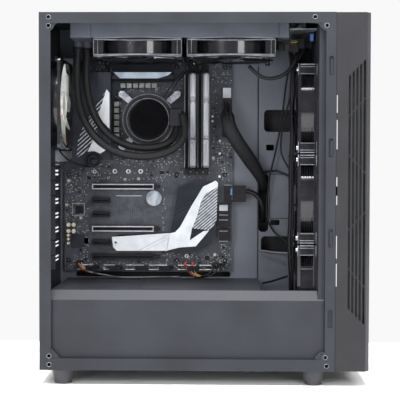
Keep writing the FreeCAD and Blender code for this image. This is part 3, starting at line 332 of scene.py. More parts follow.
nodeFinish = {
    "rear_wall": "powderCoatSteel", "floor_pan": "powderCoatSteel", "roof_frame": "powderCoatSteel",
    # the tray's finish is painted lighter for the light that falls on it
    "front_frame": "powderCoatSteel", "motherboard_tray": "powderCoatTrayPaintedLight", "psu_shroud": "powderCoatSteel",
    # the right panel's finish is painted darker for the shade seen through the tray's cut-outs
    "right_panel": "panelSteelPaintedShade", "drive_cage": "powderCoatSteel", "drive_trays": "blackNylon",
    "slot_covers": "powderCoatSteel", "front_panel": "texturedAbs", "top_io_strip": "texturedAbs",
    "front_plate": "paintedFrontSheet", "feet": "mouldedRubber", "screws": "zincPlate",
              "motherboard": "solderMask",
    "io_ports": "tinnedSteel", "io_cover": "darkShroudPlastic", "vrm_heatsink": "anodisedBlack",
    "chipset_heatsink": "anodisedBlack", "m2_shield": "whitePaint", "m2_drive": "blackNylon",
    "expansion_slots": "blackNylon", "dimm_slots": "blackNylon", "memory_modules": "anodisedSpreader",
    "coin_cell": "cellSteel", "board_sockets": "blackNylon", "sata_ports": "blackNylon",
              "processor": "tinnedSteel",
    "pump_body": "satinBlackAbs", "pump_bracket": "turnedAluminium", "radiator": "radiatorPaint",
    "rear_fan_frame": "fanFrameAbs", "top_fan_frames": "fanFrameAbs", "front_fan_frames": "fanFrameAbs",
    "psu_housing": "satinBlackAbs", "psu_inlet": "blackNylon", "psu_switch": "polishedBlack",
    "front_io_board": "tinnedSteel", "power_button": "texturedAbs", "reset_button": "texturedAbs",
    "board_plugs": "blackNylon", "top_filter": "meshCloth", "psu_filter": "meshCloth",
}
nodeFinish.update({f"dimm_latch_{k}": "blackNylon" for k in (1, 2, 3, 4)})
for name, wanted in nodeFinish.items():
    nodes[name].data.materials.clear()
    nodes[name].data.materials.append(finish[wanted])


# mesh helpers
def addPiece(name, verts, faces, wanted, body="root", smooth=False):
    mesh = bpy.data.meshes.new(name)
    mesh.from_pydata(np.asarray(verts, float).tolist(), [], [list(map(int, f)) for f in faces])
    mesh.update()
    if smooth:
        mesh.polygons.foreach_set("use_smooth", np.ones(len(mesh.polygons), bool))
    piece = bpy.data.objects.new(name, mesh)
    bpy.context.scene.collection.objects.link(piece)
    mesh.materials.append(finish[wanted])
    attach(piece, body)
    return piece


def gridFaces(rows, columns, closeRows=False, closeColumns=False):
    # Quads between neighbours of a grid numbered row by row. A closed side joins last to first.
    i, j = np.meshgrid(np.arange(rows if closeRows else rows - 1),
                       np.arange(columns if closeColumns else columns - 1),
                       indexing="ij")
    a = i * columns + j
    b = i * columns + (j + 1) % columns
    c = (i + 1) % rows * columns + (j + 1) % columns
    d = (i + 1) % rows * columns + j
    return np.stack([a, b, c, d], -1).reshape(-1, 4)


def spinProfile(profile, axis, centre, sides=48, ring=True):
    # A profile of (radius, height) turned about an axis: point = centre + radius (cos t, sin t) + height
    # along. A ring's profile closes on itself. Otherwise the first and last rounds are closed by a face
    # each.
    profile = np.asarray(profile, float)
    turn = np.linspace(0, 2 * np.pi, sides, endpoint=False)
    flat = np.stack([profile[:, None, 0] * np.cos(turn), profile[:, None, 0] * np.sin(turn),
                     np.repeat(profile[:, None, 1], sides, 1)], -1)
    order = {"x": (2, 0, 1), "y": (1, 2, 0), "z": (0, 1, 2)}[axis]
    points = flat[..., order] + np.asarray(centre, float)
    faces = gridFaces(len(profile), sides, closeRows=ring, closeColumns=True).tolist()
    if not ring:
        faces += [list(range(sides))[::-1], list(range((len(profile) - 1) * sides, len(profile) * sides))]
    return points.reshape(-1, 3), faces


def addTurned(name, profile, axis, centres, wanted, body="root", sides=32, ring=True):
    # The same turned part at each of several centres, as one mesh.
    verts, faces, start = [], [], 0
    for centre in centres:
        roundTurn, roundFaces = spinProfile(profile, axis, centre, sides, ring)
        verts.append(toRow(roundTurn))
        faces += [[start + k for k in corners] for corners in roundFaces]
        start += len(roundTurn)
    piece = addPiece(name, np.concatenate(verts), faces, wanted, body, smooth=True)
    outward(piece)
    sharp = piece.modifiers.new("edges", "EDGE_SPLIT")
    sharp.split_angle = math.radians(38)
    return piece


def outward(piece):
    # Turns the faces of a closed mesh outwards: if its signed volume is negative, every face is reversed.
    mesh = piece.data
    mesh.calc_loop_triangles()
    points = np.empty(len(mesh.vertices) * 3)
    mesh.vertices.foreach_get("co", points)
    points = points.reshape(-1, 3)
    corners = np.empty(len(mesh.loop_triangles) * 3, int)
    mesh.loop_triangles.foreach_get("vertices", corners)
    a, b, c = (points[corners.reshape(-1, 3)[:, k]] for k in range(3))
    if (a * np.cross(b, c)).sum() < 0:
        mesh.flip_normals()


def addBlocks(name, centres, sizes, wanted, body="root", chamfer=0.25):
    # Many small blocks standing towards -Y: a base, straight sides and a chamfered top, 12 points each.
    centres, sizes = np.atleast_2d(centres).astype(float), np.atleast_2d(sizes).astype(float)
    corner = np.array([[-1, -1], [1, -1], [1, 1], [-1, 1]])
    inset = np.minimum(chamfer, sizes[:, [0, 2]].min(1) * 0.3)
    levels = ((1.0, 0.0, 0.0), (-1.0, 0.0, 1.0), (-1.0, 1.0, 0.0))
    layers = []
    for side, shrink, drop in levels:
        wide = sizes[:, None, [0, 2]] / 2 - (shrink * inset)[:, None, None]
        flat = corner[None] * wide
        height = side * sizes[:, 1] / 2 + drop * inset
        layers.append(np.stack([flat[..., 0], np.repeat(height[:, None], 4, 1), flat[..., 1]],
                               -1) + centres[:, None])
    points = np.stack(layers, 1).reshape(-1, 3)
    ring = [[k, (k + 1) % 4, 4 + (k + 1) % 4, 4 + k] for k in range(4)]
    ring += [[4 + k, 4 + (k + 1) % 4, 8 + (k + 1) % 4, 8 + k] for k in range(4)]
    quads = np.array(ring + [[3, 2, 1, 0], [8, 9, 10, 11]])
    faces = (quads[None] + 12 * np.arange(len(centres))[:, None, None]).reshape(-1, 4)
    piece = addPiece(name, toRow(points), faces, wanted, body)
    outward(piece)
    return piece


def addPlates(name, outlines, near, far, wanted, body="root", bevelMm=0.3):
    # Flat plates square to Y from near to far, one for each outline of (depth, height) points.
    verts, faces, start = [], [], 0
    for outline in outlines:
        outline = np.asarray(outline, float)
        count = len(outline)
        for level in (near, far):
            verts.append(np.stack([outline[:, 0], np.full(count, float(level)), outline[:, 1]], -1))
        faces.append([start + k for k in range(count)])
        faces.append([start + count + k for k in range(count)][::-1])
        faces += [[start + k, start + count + k, start + count + (k + 1) % count, start + (k + 1) % count]
                  for k in range(count)]
        start += 2 * count
    piece = addPiece(name, toRow(np.concatenate(verts)), faces, wanted, body)
    outward(piece)
    if bevelMm:
        bevel = piece.modifiers.new("bevel", "BEVEL")
        bevel.width = bevelMm * mm
        bevel.segments = 2
        bevel.limit_method = "ANGLE"
    return piece


def smoothLine(points):
    # The line of a NURBS spline of order 3 with these points, in row-frame metres, as its control points.
    curve = bpy.data.curves.new("route", "CURVE")
    curve.dimensions = "3D"
    curve.resolution_u = 10
    spline = curve.splines.new("NURBS")
    spline.points.add(len(points) - 1)
    spline.points.foreach_set("co", np.column_stack([points, np.ones(len(points))]).ravel())
    spline.order_u = 3
    spline.use_endpoint_u = True
    holder = bpy.data.objects.new("route", curve)
    mesh = bpy.data.meshes.new_from_object(holder)
    line = np.empty(len(mesh.vertices) * 3)
    mesh.vertices.foreach_get("co", line)
    bpy.data.objects.remove(holder)
    bpy.data.meshes.remove(mesh)
    return line.reshape(-1, 3)


def tubeAlong(line, radius, sides=16):
    # Rings square to the line: point = line + radius (cos t side + sin t up). The side is carried along
    # the line with its part along the line taken off, so the tube doesn't twist. UV is share of turn, and
    # mm along.
    along = np.gradient(line, axis=0)
    along /= np.linalg.norm(along, axis=1)[:, None]
    side = np.cross(along[0], [0.0, 1.0, 0.0] if abs(along[0][1]) < 0.9 else [1.0, 0.0, 0.0])
    sideWalls = []
    for direction in along:
        side = side - direction * side.dot(direction)
        side /= np.linalg.norm(side)
        sideWalls.append(side)
    side = np.array(sideWalls)
    up = np.cross(along, side)
    turn = np.linspace(0, 2 * np.pi, sides, endpoint=False)
    rings = line[:, None] + radius * (np.cos(turn)[None, :, None] * side[:, None] + np.sin(turn)[None, :,
        None] * up[:, None])
    travel = np.concatenate([[0], np.cumsum(np.linalg.norm(np.diff(line, axis=0), axis=1))]) / mm
    return rings.reshape(-1, 3), gridFaces(len(line), sides, closeColumns=True), travel


def addCord(name, route, diameterMm, wanted, body="root", node=None,
            sides=14):
    # A cord through the route's points. Its two ends are closed by a face each.
    line = smoothLine(toRow(route))
    verts, faces, travel = tubeAlong(line, diameterMm * mm / 2, sides)
    count = len(line)
    caps = [list(range(sides))[::-1], list(range((count - 1) * sides, count * sides))]
    piece = addPiece(name, verts, [*faces.tolist(), *caps], wanted, body, smooth=True)
    outward(piece)
    layer = piece.data.uv_layers.new(name="UVMap")
    corners = np.empty(len(piece.data.loops), int)
    piece.data.loops.foreach_get("vertex_index", corners)
    share = (corners % sides) / sides
    place = travel[np.minimum(corners // sides, count - 1)]
    layer.data.foreach_set("uv", np.column_stack([share, place]).ravel())
    if node:
        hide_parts(node)
    return piece


# the camera stands level with the middle of the case and looks square into the open side
cameraLook = {"place": (0.03329, -1.57206, 0.28795), "yaw": 1.341, "pitch": 1.794, "roll": 0.133,
              "lens": 101.91}


def addCamera(look):
    yaw, pitch, roll = (math.radians(look[k]) for k in ("yaw", "pitch", "roll"))
    ahead = np.array([-math.sin(yaw) * math.cos(pitch), math.cos(yaw) * math.cos(pitch), -math.sin(pitch)])
    level = np.array([math.cos(yaw), math.sin(yaw), 0.0])
    above = np.cross(level, ahead)
    right = math.cos(roll) * level + math.sin(roll) * above
    up = -math.sin(roll) * level + math.cos(roll) * above
    data = bpy.data.cameras.new("camera")
    data.lens = look["lens"]
    data.sensor_width = 36
    data.clip_end = 20
    camera = bpy.data.objects.new("camera", data)
    turn = np.eye(4)
    turn[:3, :3] = np.column_stack([right, up, -ahead])
    turn[:3, 3] = look["place"]
    camera.matrix_world = Matrix(turn.tolist())
    bpy.context.scene.collection.objects.link(camera)
    bpy.context.scene.camera = camera


addCamera(cameraLook)


# free cords and hoses first. Routes are millimetres from the rear face
coolantInner = [(49.8, 0, 449.0), (48.6, 0.5, 425.0), (48.3, -1, 400.0), (53.5, -3, 373.0),
                (63.5, -4, 349.0),
                (80.0, -4, 328.0), (103.5, -3, 314.5), (130.4, -2, 309.7), (156.0, 0, 313.5),
                (172.0, 8, 325.0),
                (173.5, 18, 340.8)]
coolantOuter = [(38.4, -10, 449.0), (36.8, -10.5, 425.0), (36.4, -12.5, 396.0), (40.5, -15, 367.0),
                (50.5, -17, 341.5),
                (67.5, -18, 319.5), (94.0, -17.5, 303.0), (127.5, -15.5, 297.5), (159.5, -11, 302.5),
                (181.0, -3, 317.0), (187.6, 4, 337.0), (181.2, 11, 358.5)]
atxRoute = [(244.1, 47.9, 362.0), (243.8, 31.0, 360.5), (246.5, 21.5, 341.0), (258.0, 27.0, 321.0),
            (271.5, 38.0, 302.0),
            (283.0, 50.0, 286.0), (292.5, 59.0, 270.5), (297.2, 70.0, 258.0), (297.4, 86.0, 252.0)]
frontIoRoute = [(273.9, -20, 422.6), (286.3, -21, 409.0), (302.7, -21.5, 404.2), (320.5, -21, 409.0),
                (332.6, -20, 420.5),
                (339.0, -17.5, 433.5), (345.0, -10.0, 448.0)]
usbRoute = [(271.9, 65.7, 250.0), (283.0, 64.8, 248.0), (292.0, 63.5, 238.5), (297.0, 65.5, 224.5),
            (297.6, 74.0, 212.0),
            (297.2, 88.0, 205.0)]
addCord("coolantTubeInner", coolantInner, 10.6, "coolantRubber",
        node="coolant_tube_inner",
        sides=32)
addCord("coolantTubeOuter", coolantOuter, 10.6, "coolantRubber",
        node="coolant_tube_outer",
        sides=32)
addCord("frontPortCable", frontIoRoute, 5.0, "blackPvc", node="front_io_cable", sides=20)
addCord("usbCable", usbRoute, 6.5, "blackPvc", node="usb3_cable", sides=20)
print("main cords made")

# fans: nine twisted blades on a turned hub, in place of each plain rotor
caseRotor = {"blades": 9, "hubR": 20.0, "tipR": 56.4, "rise": (20.0, 17.0), "chord": (38.0, 34.0),
             "sweep": 24.0,
             "camber": 2.0, "thick": 1.9, "hubDeep": 17.0, "finish": "milkyPolycarbonate",
             "slot": "fan_blade"}
supplyRotor = dict(caseRotor, blades=7, finish="blackNylon", slot="fan_blade", chord=(44.0, 40.0))


def bladeGrid(look):
    # One blade as rings of a wing section: at radius r the chord spans an angle, the height falls along
    # the chord by the rise and bows by the camber, and the two faces are half a thickness apart, thin at
    # both edges.
    along = np.linspace(0, 1, 10)[:, None]
    loop = np.concatenate([np.linspace(-1, 1, 13), np.linspace(1, -1, 13)[1:-1]])[None]
    side = np.concatenate([np.ones(13), -np.ones(11)])[None]
    radius = look["hubR"] - 0.6 + (look["tipR"] - look["hubR"] + 0.6) * along
    chord = np.radians(look["chord"][0] + (look["chord"][1] - look["chord"][0]) * along)
    angle = np.radians(look["sweep"]) * along ** 1.6 + chord * loop / 2
    rise = look["rise"][0] + (look["rise"][1] - look["rise"][0]) * along
    half = look["thick"] / 2 * np.sqrt(np.clip(1 - loop ** 2, 0, 1)) * side + 0.12 * side
    height = -rise * loop / 2 + look["camber"] * (1 - loop ** 2) + half
    return np.stack([radius * np.cos(angle), radius * np.sin(angle), height], -1)


def addRotor(node, axis, look):
    low, high = (np.array(corner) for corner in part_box(node))
    middle = (low + high) / 2 / mm - np.array([rearX / mm, 0, 0])
    order = {"x": (2, 0, 1), "z": (0, 1, 2)}[axis]
    deep = look["hubDeep"]
    r = look["hubR"]
    outline = [(0.4, -deep / 2), (r - 1.4, -deep / 2), (r, -deep / 2 + 1.4), (r, deep / 2 - 0.6),
               (r - 0.6, deep / 2),
               (r - 2.2, deep / 2), (r - 2.6, deep / 2 - 1.0), (0.4, deep / 2 - 1.0)]
    verts, faces = spinProfile(outline, axis, middle, 48, ring=False)
    grid = bladeGrid(look)
    rows, columns = grid.shape[:2]
    quads = gridFaces(rows, columns, closeColumns=True)
    allVerts, allFaces = [verts], list(faces)
    start = len(verts)
    for k in range(look["blades"]):
        turn = 2 * np.pi * k / look["blades"]
        spun = np.stack([grid[..., 0] * np.cos(turn) - grid[..., 1] * np.sin(turn),
                         grid[..., 0] * np.sin(turn) + grid[..., 1] * np.cos(turn), grid[..., 2]], -1)
        allVerts.append(spun.reshape(-1, 3)[:, order] + middle)
        allFaces += (quads + start).tolist()
        allFaces.append([start + j for j in range(columns)][::-1])
        allFaces.append([start + (rows - 1) * columns + j for j in range(columns)])
        start += rows * columns
    rotor = addPiece(node + "_blades", toRow(np.concatenate(allVerts)), allFaces, look["finish"],
                     node,
                     smooth=True)
    outward(rotor)
    split = rotor.modifiers.new("edges", "EDGE_SPLIT")
    split.split_angle = math.radians(50)
    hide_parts(node)
    return rotor


caseFans = {"rear_fan_rotor": "x", "top_fan_rotor_1": "z", "top_fan_rotor_2": "z", "front_fan_rotor_1": "x",
            "front_fan_rotor_2": "x", "front_fan_rotor_3": "x"}
for node, axis in caseFans.items():
    addRotor(node, axis, caseRotor)
addRotor("psu_fan_rotor", "z", supplyRotor)
print("rotors made")


# stripes cut to an outline: each band between two parallel lines keeps the part of the outline inside it
def clipped(outline, normal, limit):
    # Keeps the side of a line where normal . point <= limit, adding the points where the outline crosses
    # it.
    kept = []
    values = [p[0] * normal[0] + p[1] * normal[1] - limit for p in outline]
    for k, here in enumerate(outline):
        after, a, b = outline[(k + 1) % len(outline)], values[k], values[(k + 1) % len(outline)]
        if a <= 0:
            kept.append(here)
        if a * b < 0:
            share = a / (a - b)
            kept.append((here[0] + share * (after[0] - here[0]), here[1] + share * (after[1] - here[1])))
    return kept


def stripes(outline, angle, pitch, width, shift=0.0):
    # Parallel bands at an angle in degrees, a pitch apart, each as wide as width, inside a convex
    # outline.
    normal = (-math.sin(math.radians(angle)), math.cos(math.radians(angle)))
    levels = [p[0] * normal[0] + p[1] * normal[1] for p in outline]
    bands = []
    level = math.floor(min(levels) / pitch) * pitch + shift
    while level < max(levels):
        band = clipped(clipped(outline, normal, level + width), (-normal[0], -normal[1]), -level)
        if len(band) > 2:
            bands.append(band)
        level += pitch
    return bands


# rear port cover: two striped fields, two white plates and a plain lower skirt
portCover = {"face": 29.0, "upperField": [(39.9, 338.7), (62.8, 376.6), (72.6, 391.0), (66.0, 360.0),
                                          (66.0, 350.0), (56.0, 326.0)],
             "lowerField": [(31.3, 297.0), (33.3, 321.0), (39.9, 338.7), (54.0, 350.0), (56.0, 325.0),
                            (45.0, 305.0)],
             "upperPlate": [(73.9, 394.0), (78.0, 389.0), (78.0, 338.1), (67.5, 348.9), (62.6, 359.0)],
             "lowerPlate": [(55.8, 324.0), (76.6, 310.6), (65.0, 303.0), (57.0, 306.5), (47.0, 305.6)],
             "skirt": [(4.6, 279.6), (48.0, 285.6), (55.5, 297.0), (30.0, 308.0), (24.8, 297.0)],
             "angle": 45.0, "pitch": 4.3, "width": 1.7}
face = portCover["face"]
addPlates("portCoverSkirt", [portCover["skirt"]], face - 0.6, face + 1.6, "darkShroudPlastic")
addPlates("portCoverStripes", stripes(portCover["upperField"], portCover["angle"], portCover["pitch"],
                                      portCover["width"])
          + stripes(portCover["lowerField"], portCover["angle"] - 3, portCover["pitch"],
                    portCover["width"]),
          face - 0.75, face + 0.2, "fieldSilver", bevelMm=0)
addPlates("portCoverPlates", [portCover["upperPlate"], portCover["lowerPlate"]], face - 1.0, face + 0.2,
          "whitePaint")
addPlates("portCoverField", [portCover["upperField"], portCover["lowerField"]], face - 0.45, face + 0.2,
          "blackNylon",
          bevelMm=0)

# regulator heatsink: a pale slanted front plate over the bar
addPlates("regulatorPlate", [[(82.0, 419.0), (166.0, 419.0), (160.0, 414.5), (146.0, 410.2),
                              (92.0, 410.2)]], 39.2, 40.2,
          "paleAnodised", bevelMm=0.4)
addBlocks("regulatorFins", [(124.1, 44.0, 421.8 + 2.6 * k) for k in range(4)], [(88.0, 1.6, 0.9)] * 4,
          "anodisedBlack")

# regulator chokes: two rows of pressed ferrite blocks
chokes = {"row": [(94.1 + 9 * k, 63.2, 401.6) for k in range(6)],
          "column": [(84.8, 63.2, 329 + 9.2 * k) for k in range(6)]}
addBlocks("regulatorChokes", chokes["row"] + chokes["column"],
          [(7.4, 1.6, 7.0)] * 6 + [(7.4, 1.6, 7.0)] * 6,
          "chokeFerrite", chamfer=0.7)

# pump: outer ring, silver ring and a slightly domed glossy cap
pump = {"x": 133.1, "z": 351.0, "capR": 28.3}
dome = [(pump["capR"] * math.sin(t), 19.0 + 0.7 * (1 - math.cos(t)))
        for t in np.linspace(0.0175, math.pi / 2, 9)]
addTurned("pumpCap", [*dome, (pump["capR"], 20.4), (0.5, 20.4)], "y", [(pump["x"], 0, pump["z"])],
          "polishedBlack",
          sides=96, ring=False)
for name, inner, outer, near, finishName in (("pumpSilverRing", 29.2, 30.2, 19.2, "paleTrimAndPaintedHighlight"),
                                             ("pumpTrimRing", 35.4, 36.5, 24.3, "paleTrimAndPaintedHighlight"),
                                             ("pumpFootRing", 33.0, 37.4, 54.0, "satinBlackAbs")):
    middle = (inner + outer) / 2
    addTurned(name, [(inner, near + 2.0), (inner, near + 0.5), (inner + 0.5, near), (middle, near - 0.12),
                     (outer - 0.5, near),
                     (outer, near + 0.5), (outer, near + 2.0)], "y", [(pump["x"], 0, pump["z"])],
              finishName,
              sides=96)

# chipset heatsink: a white slanted band, a striped silver field and dark grooves
chipset = {"face": 58.0,
           "band": [(162.0, 188.8), (170.0, 190.4), (177.0, 198.0), (193.0, 227.7), (210.0, 256.0),
                    (228.0, 264.9),
                    (231.5, 262.0), (231.5, 256.0), (213.8, 245.8), (207.2, 234.4), (201.5, 212.6),
                    (194.0, 195.5),
                    (191.0, 178.6), (210.1, 191.7), (219.1, 193.2), (199.7, 169.8), (176.9, 168.3),
                    (158.3, 163.8)],
           "field": [(231.0, 255.8), (213.8, 245.4), (207.6, 234.4), (202.0, 212.6), (194.6, 196.0),
                     (219.1, 193.6),
                     (226.2, 201.3), (229.6, 209.0)],
           "wedge": [(194.4, 195.0), (191.6, 180.2), (209.6, 191.9), (214.0, 194.0)],
           "grooved": [(172.0, 230.5), (194.0, 241.0), (186.0, 223.0), (171.2, 216.0)]}
top = chipset["face"]
addPlates("chipsetBand", [chipset["band"]], top - 1.1, top + 0.1, "whitePaint",
          bevelMm=0.35)
addPlates("chipsetField", [chipset["field"]], top - 0.3, top + 0.1, "fieldSilver",
          bevelMm=0)
addPlates("chipsetFieldStripes", stripes(chipset["field"], 40, 3.4, 1.3),
          top - 0.55, top - 0.2, "anodisedBlack", bevelMm=0)
addPlates("chipsetWedgeStripes", stripes(chipset["wedge"], 48, 3.4, 2.0), top - 0.5, top + 0.1,
          "blackNylon",
          bevelMm=0)
addPlates("chipsetRibs", stripes(chipset["grooved"], 25, 4.6, 1.5), top - 0.5, top + 0.1, "blackNylon",
          bevelMm=0.15)

# drive shield: two faint pressed lines
# grey strips painted as the shade along two faint pressed lines
addPlates("shieldCreaseShade", [[(117.0, 164.0), (118.6, 164.0), (160.0, 185.5), (158.4, 185.5)],
                          [(126.0, 164.0), (127.0, 164.0), (160.0, 181.0), (159.0, 181.0)]], 59.85, 60.1,
          "greyPrint",
          bevelMm=0)


# holes with a tinned ring, black discs painted in holes as shade, pale rings painted round the ear holes as
# highlights, and white studs
def washers(name, places, near, inner, outer, wanted):
    profile = [(inner, near + 0.7), (inner, near + 0.15), (inner + 0.15, near), (outer - 0.3, near),
               (outer, near + 0.3),
               (outer, near + 0.7)]
    return addTurned(name, profile, "y", [(x, 0, z) for x, z in places], wanted)


def discs(name, places, near, radius, wanted):
    profile = [(0.3, near), (radius - 0.15, near), (radius, near + 0.15), (radius, near + 0.6),
               (0.3, near + 0.6)]
    return addTurned(name, profile, "y", [(x, 0, z) for x, z in places], wanted, ring=False)


ringPlaces = [(81.5, 277.8), (101.2, 277.8), (119.1, 277.8)]
washers("drillRings", ringPlaces, 70.5, 1.5, 3.5, "solderTin")
washers("drillRingSmall", [(52.0, 277.6), (186.0, 155.0)], 70.5, 1.3, 3.0, "solderTin")
# black discs painted in these holes as the shade inside them
holeShadePlaces = [(129.3, 293.6), (137.4, 292.5), (172.1, 274.6), (244.1, 274.6), (226.8, 343.0), *ringPlaces]
discs("boardHoleShade", holeShadePlaces, 70.75, 1.7, "blackNylon")
whiteDots = [(233.9, 322.0), (234.0, 304.0), (233.6, 270.6), (223.3, 357.5), (223.3, 350.8)]
discs("boardStuds", whiteDots, 69.4, 1.7, "whiteSilk")
earHoles = [(12.5, 478.5), (12.5, 467.4), (357.3, 478.5), (372.5, 467.4), (12.5, 37.6), (12.5, 26.3),
            (372.5, 37.6),
            (374.3, 26.3)]
# pale rings painted round the side frame's ear holes as highlights
washers("earHoleHighlights", earHoles, -105.2, 2.5, 3.2, "paleTrimAndPaintedHighlight")
print("covers, sinks and rings made")

# card slots: white steel cladding round a dark groove
slotCladding = {"left": 49.4, "right": 139.0, "levels": (255.8, 194.8), "half": 4.0, "wall": 1.6}
for k, level in enumerate(slotCladding["levels"]):
    left, right, half, wall = (slotCladding[key] for key in ("left", "right", "half", "wall"))
    middle = (left + right) / 2
    bars = [(middle, 60.0, level + half - wall / 2), (middle, 60.0, level - half + wall / 2),
            (left + wall / 2, 60.0, level),
            (right - wall / 2, 60.0, level)]
    sizes = [(right - left, 1.6, wall), (right - left, 1.6, wall), (wall, 1.58, 2 * (half - wall)),
             (wall, 1.58, 2 * (half - wall))]
    addBlocks(f"slotCladding_{k + 1}", bars, sizes, "claddingSteel")
# a pale strip painted along the drive socket as a glint
addBlocks("driveSocketGlint", [(102.0, 69.6, 242.3)], [(37.0, 2.6, 1.3)], "greyPrint")

# memory: pressed spreader strips, steel side walls of the empty sockets, and dotted end blocks
memory = {"modules": (195.8, 214.6), "empty": (186.4, 205.2), "near": 31.0}
strips = []
for x in memory["modules"]:
    strips += [[(x - 3.1, 328.5), (x + 3.1, 328.5), (x + 3.1, 374.5), (x + 1.2, 376.8), (x - 1.2, 376.8),
                (x - 3.1, 374.5)]]
    strips += [[(x - 1.7, 289.0), (x + 1.7, 289.0), (x + 1.7, 311.0), (x + 2.9, 313.5), (x + 2.9, 316.5),
                (x - 2.9, 316.5),
                (x - 2.9, 313.5), (x - 1.7, 311.0)]]
    strips += [[(x - 1.7, 416.5), (x + 1.7, 416.5), (x + 1.7, 390.0), (x + 2.9, 387.5), (x + 2.9, 384.5),
                (x - 2.9, 384.5),
                (x - 2.9, 387.5), (x - 1.7, 390.0)]]
    strips += [[(x - 2.6, 321.6), (x + 2.6, 321.6), (x + 2.6, 323.2), (x - 2.6, 323.2)]]
    strips += [[(x - 2.6, 379.6), (x + 2.6, 379.6), (x + 2.6, 381.2), (x - 2.6, 381.2)]]
addPlates("spreaderStrips", strips, memory["near"] - 0.7, memory["near"] + 0.1, "brightSpreader",
          bevelMm=0.25)
walls = [(x + s * 2.9, 61.5, 351.0) for x in memory["empty"] for s in (-1, 1)]
addBlocks("socketWalls", walls, [(1.0, 5.0, 134.0)] * len(walls), "brightSpreader")
gaps = [(x + s * 3.9, 46.0, 350.5) for x in memory["modules"] for s in (-1, 1)]
addBlocks("spreaderEdges", gaps, [(0.7, 29.0, 131.0)] * len(gaps), "anodisedSpreader")
dots = [(191.8, 56.8, 277.4), (210.1, 56.8, 277.4), (201.0, 56.8, 276.4), (219.0, 56.8, 276.4)]
addBlocks("socketDots", dots, [(1.3, 0.8, 1.3)] * len(dots), "solderTin")


# board parts: each kind is scattered over the same board area, clear of the larger parts
boardFace = 71.0
busyAreas = [(44, 150, 148, 262), (24, 82, 290, 400), (78, 172, 400, 432), (94, 176, 308, 392),
             (181, 222, 272, 432),
             (156, 234, 160, 268), (232, 254, 226, 262), (232, 252, 176, 232), (232, 254, 322, 404),
             (9, 26, 160, 196),
             (76, 106, 270, 285), (112, 124, 270, 285), (128, 149, 228, 250)]


def scatter(count, area, size, gap=0.5, tries=30):
    # Places in an area, on a 0.5 mm grid, kept when clear of the busy areas and of the parts already
    # placed.
    placed = []
    for _ in range(count):
        for _ in range(tries):
            x = round(rng.uniform(area[0], area[1]) * 2) / 2
            z = round(rng.uniform(area[2], area[3]) * 2) / 2
            half = (size[0] / 2 + gap, size[2] / 2 + gap)
            blocked = any(a - half[0] < x < b + half[0] and c - half[1] < z < d + half[1]
                          for a, b, c, d in busyAreas)
            if not blocked:
                placed.append((x, boardFace - size[1] / 2 + 0.05, z))
                busyAreas.append((x - half[0] + gap, x + half[0] - gap, z - half[1] + gap,
                                  z + half[1] - gap))
                break
    return placed


boardArea = (10.0, 250.0, 135.5, 436.0)
chipPlaces = [(38.5, 70.2, 176.5), (30.0, 70.2, 222.0), (44.0, 70.2, 268.0), (150.0, 70.2, 276.0),
              (216.0, 70.2, 152.0)]
chipSizes = [(9.0, 1.6, 9.0), (12.0, 1.6, 12.0), (6.0, 1.4, 5.0), (7.0, 1.4, 5.0), (7.0, 1.4, 7.0)]
for (x, _, z), (w, _, h) in zip(chipPlaces, chipSizes):
    busyAreas.append((x - w / 2 - 1, x + w / 2 + 1, z - h / 2 - 1, z + h / 2 + 1))
addBlocks("boardChips", chipPlaces, chipSizes, "blackNylon", chamfer=0.4)
legs = []
for (x, _, z), (w, _, h) in zip(chipPlaces, chipSizes):
    for k in range(int(w / 1.3)):
        legs += [(x - w / 2 + 1.0 + 1.3 * k, 70.75, z + s * (h / 2 + 0.5)) for s in (-1, 1)]
    for k in range(int(h / 1.3)):
        legs += [(x + s * (w / 2 + 0.5), 70.75, z - h / 2 + 1.0 + 1.3 * k) for s in (-1, 1)]
addBlocks("chipLegs", legs, [(0.6, 0.5, 0.9)] * len(legs), "solderTin")
kinds = [("ceramicParts", 230, (2.0, 0.9, 1.1), "ceramicTan"),
         ("resistorParts", 200, (1.1, 0.6, 2.0), "blackNylon"),
         ("solderPads", 260, (1.4, 0.14, 0.9), "solderTin"),
         ("silkTicks", 150, (2.6, 0.12, 0.5), "whiteSilk"),
         ("inductorParts", 26, (4.0, 2.2, 4.0), "chokeFerrite"),
         ("transistorParts", 44, (3.6, 1.1, 3.0), "blackNylon"),
         ("plugPads", 60, (0.5, 0.13, 3.2), "whiteSilk")]
for name, count, size, wanted in kinds:
    placed = scatter(count, boardArea, size)
    addBlocks(name, placed, [size] * len(placed), wanted, chamfer=0.2)
    print("  ", name, len(placed))
contactPads = [(x, 70.95, z) for x in np.arange(97.0, 165.0, 2.2) for z in (303.5, 306.0)]
addBlocks("socketPads", contactPads, [(1.1, 0.3, 1.0)] * len(contactPads), "goldPlate")
# can tops of the audio capacitors: four wide and three narrow
canTop = [(-2.9, 60.1), (-0.6, 60.1), (0, 60.7), (0, 62.0), (-0.3, 62.4), (0, 62.8), (0, 64.0),
          (-2.9, 64.0)]
cans = {"wideR": 3.2, "wide": [(15.1, 200.5), (22.5, 200.5), (15.1, 191.1), (22.5, 191.1)], "narrowR": 2.3,
        "narrow": [(14.8, 185.3), (14.8, 179.6), (14.8, 173.7)]}
for size in ("wide", "narrow"):
    profile = [(max(cans[size + "R"] + r, 0.3), y) for r, y in canTop]
    addTurned(f"audioCapTops_{size}", profile, "y", [(x, 0, z) for x, z in cans[size]], "paleGold",
              sides=24,
              ring=False)
headerLength = {"audioHeader": (30.0, 50.0), "fanHeader": (68.0, 82.0), "portHeaderA": (100.0, 124.0),
                "portHeaderB": (134.0, 158.0), "panelHeader": (176.0, 200.0), "cardHeader": (207.0, 232.0)}
pins = [(x, 66.5, z) for low, high in headerLength.values() for x in np.arange(low, high, 2.54)
        for z in (137.2, 139.8)]
addBlocks("headerPins", pins, [(0.7, 5.0, 0.7)] * len(pins), "goldPlate")
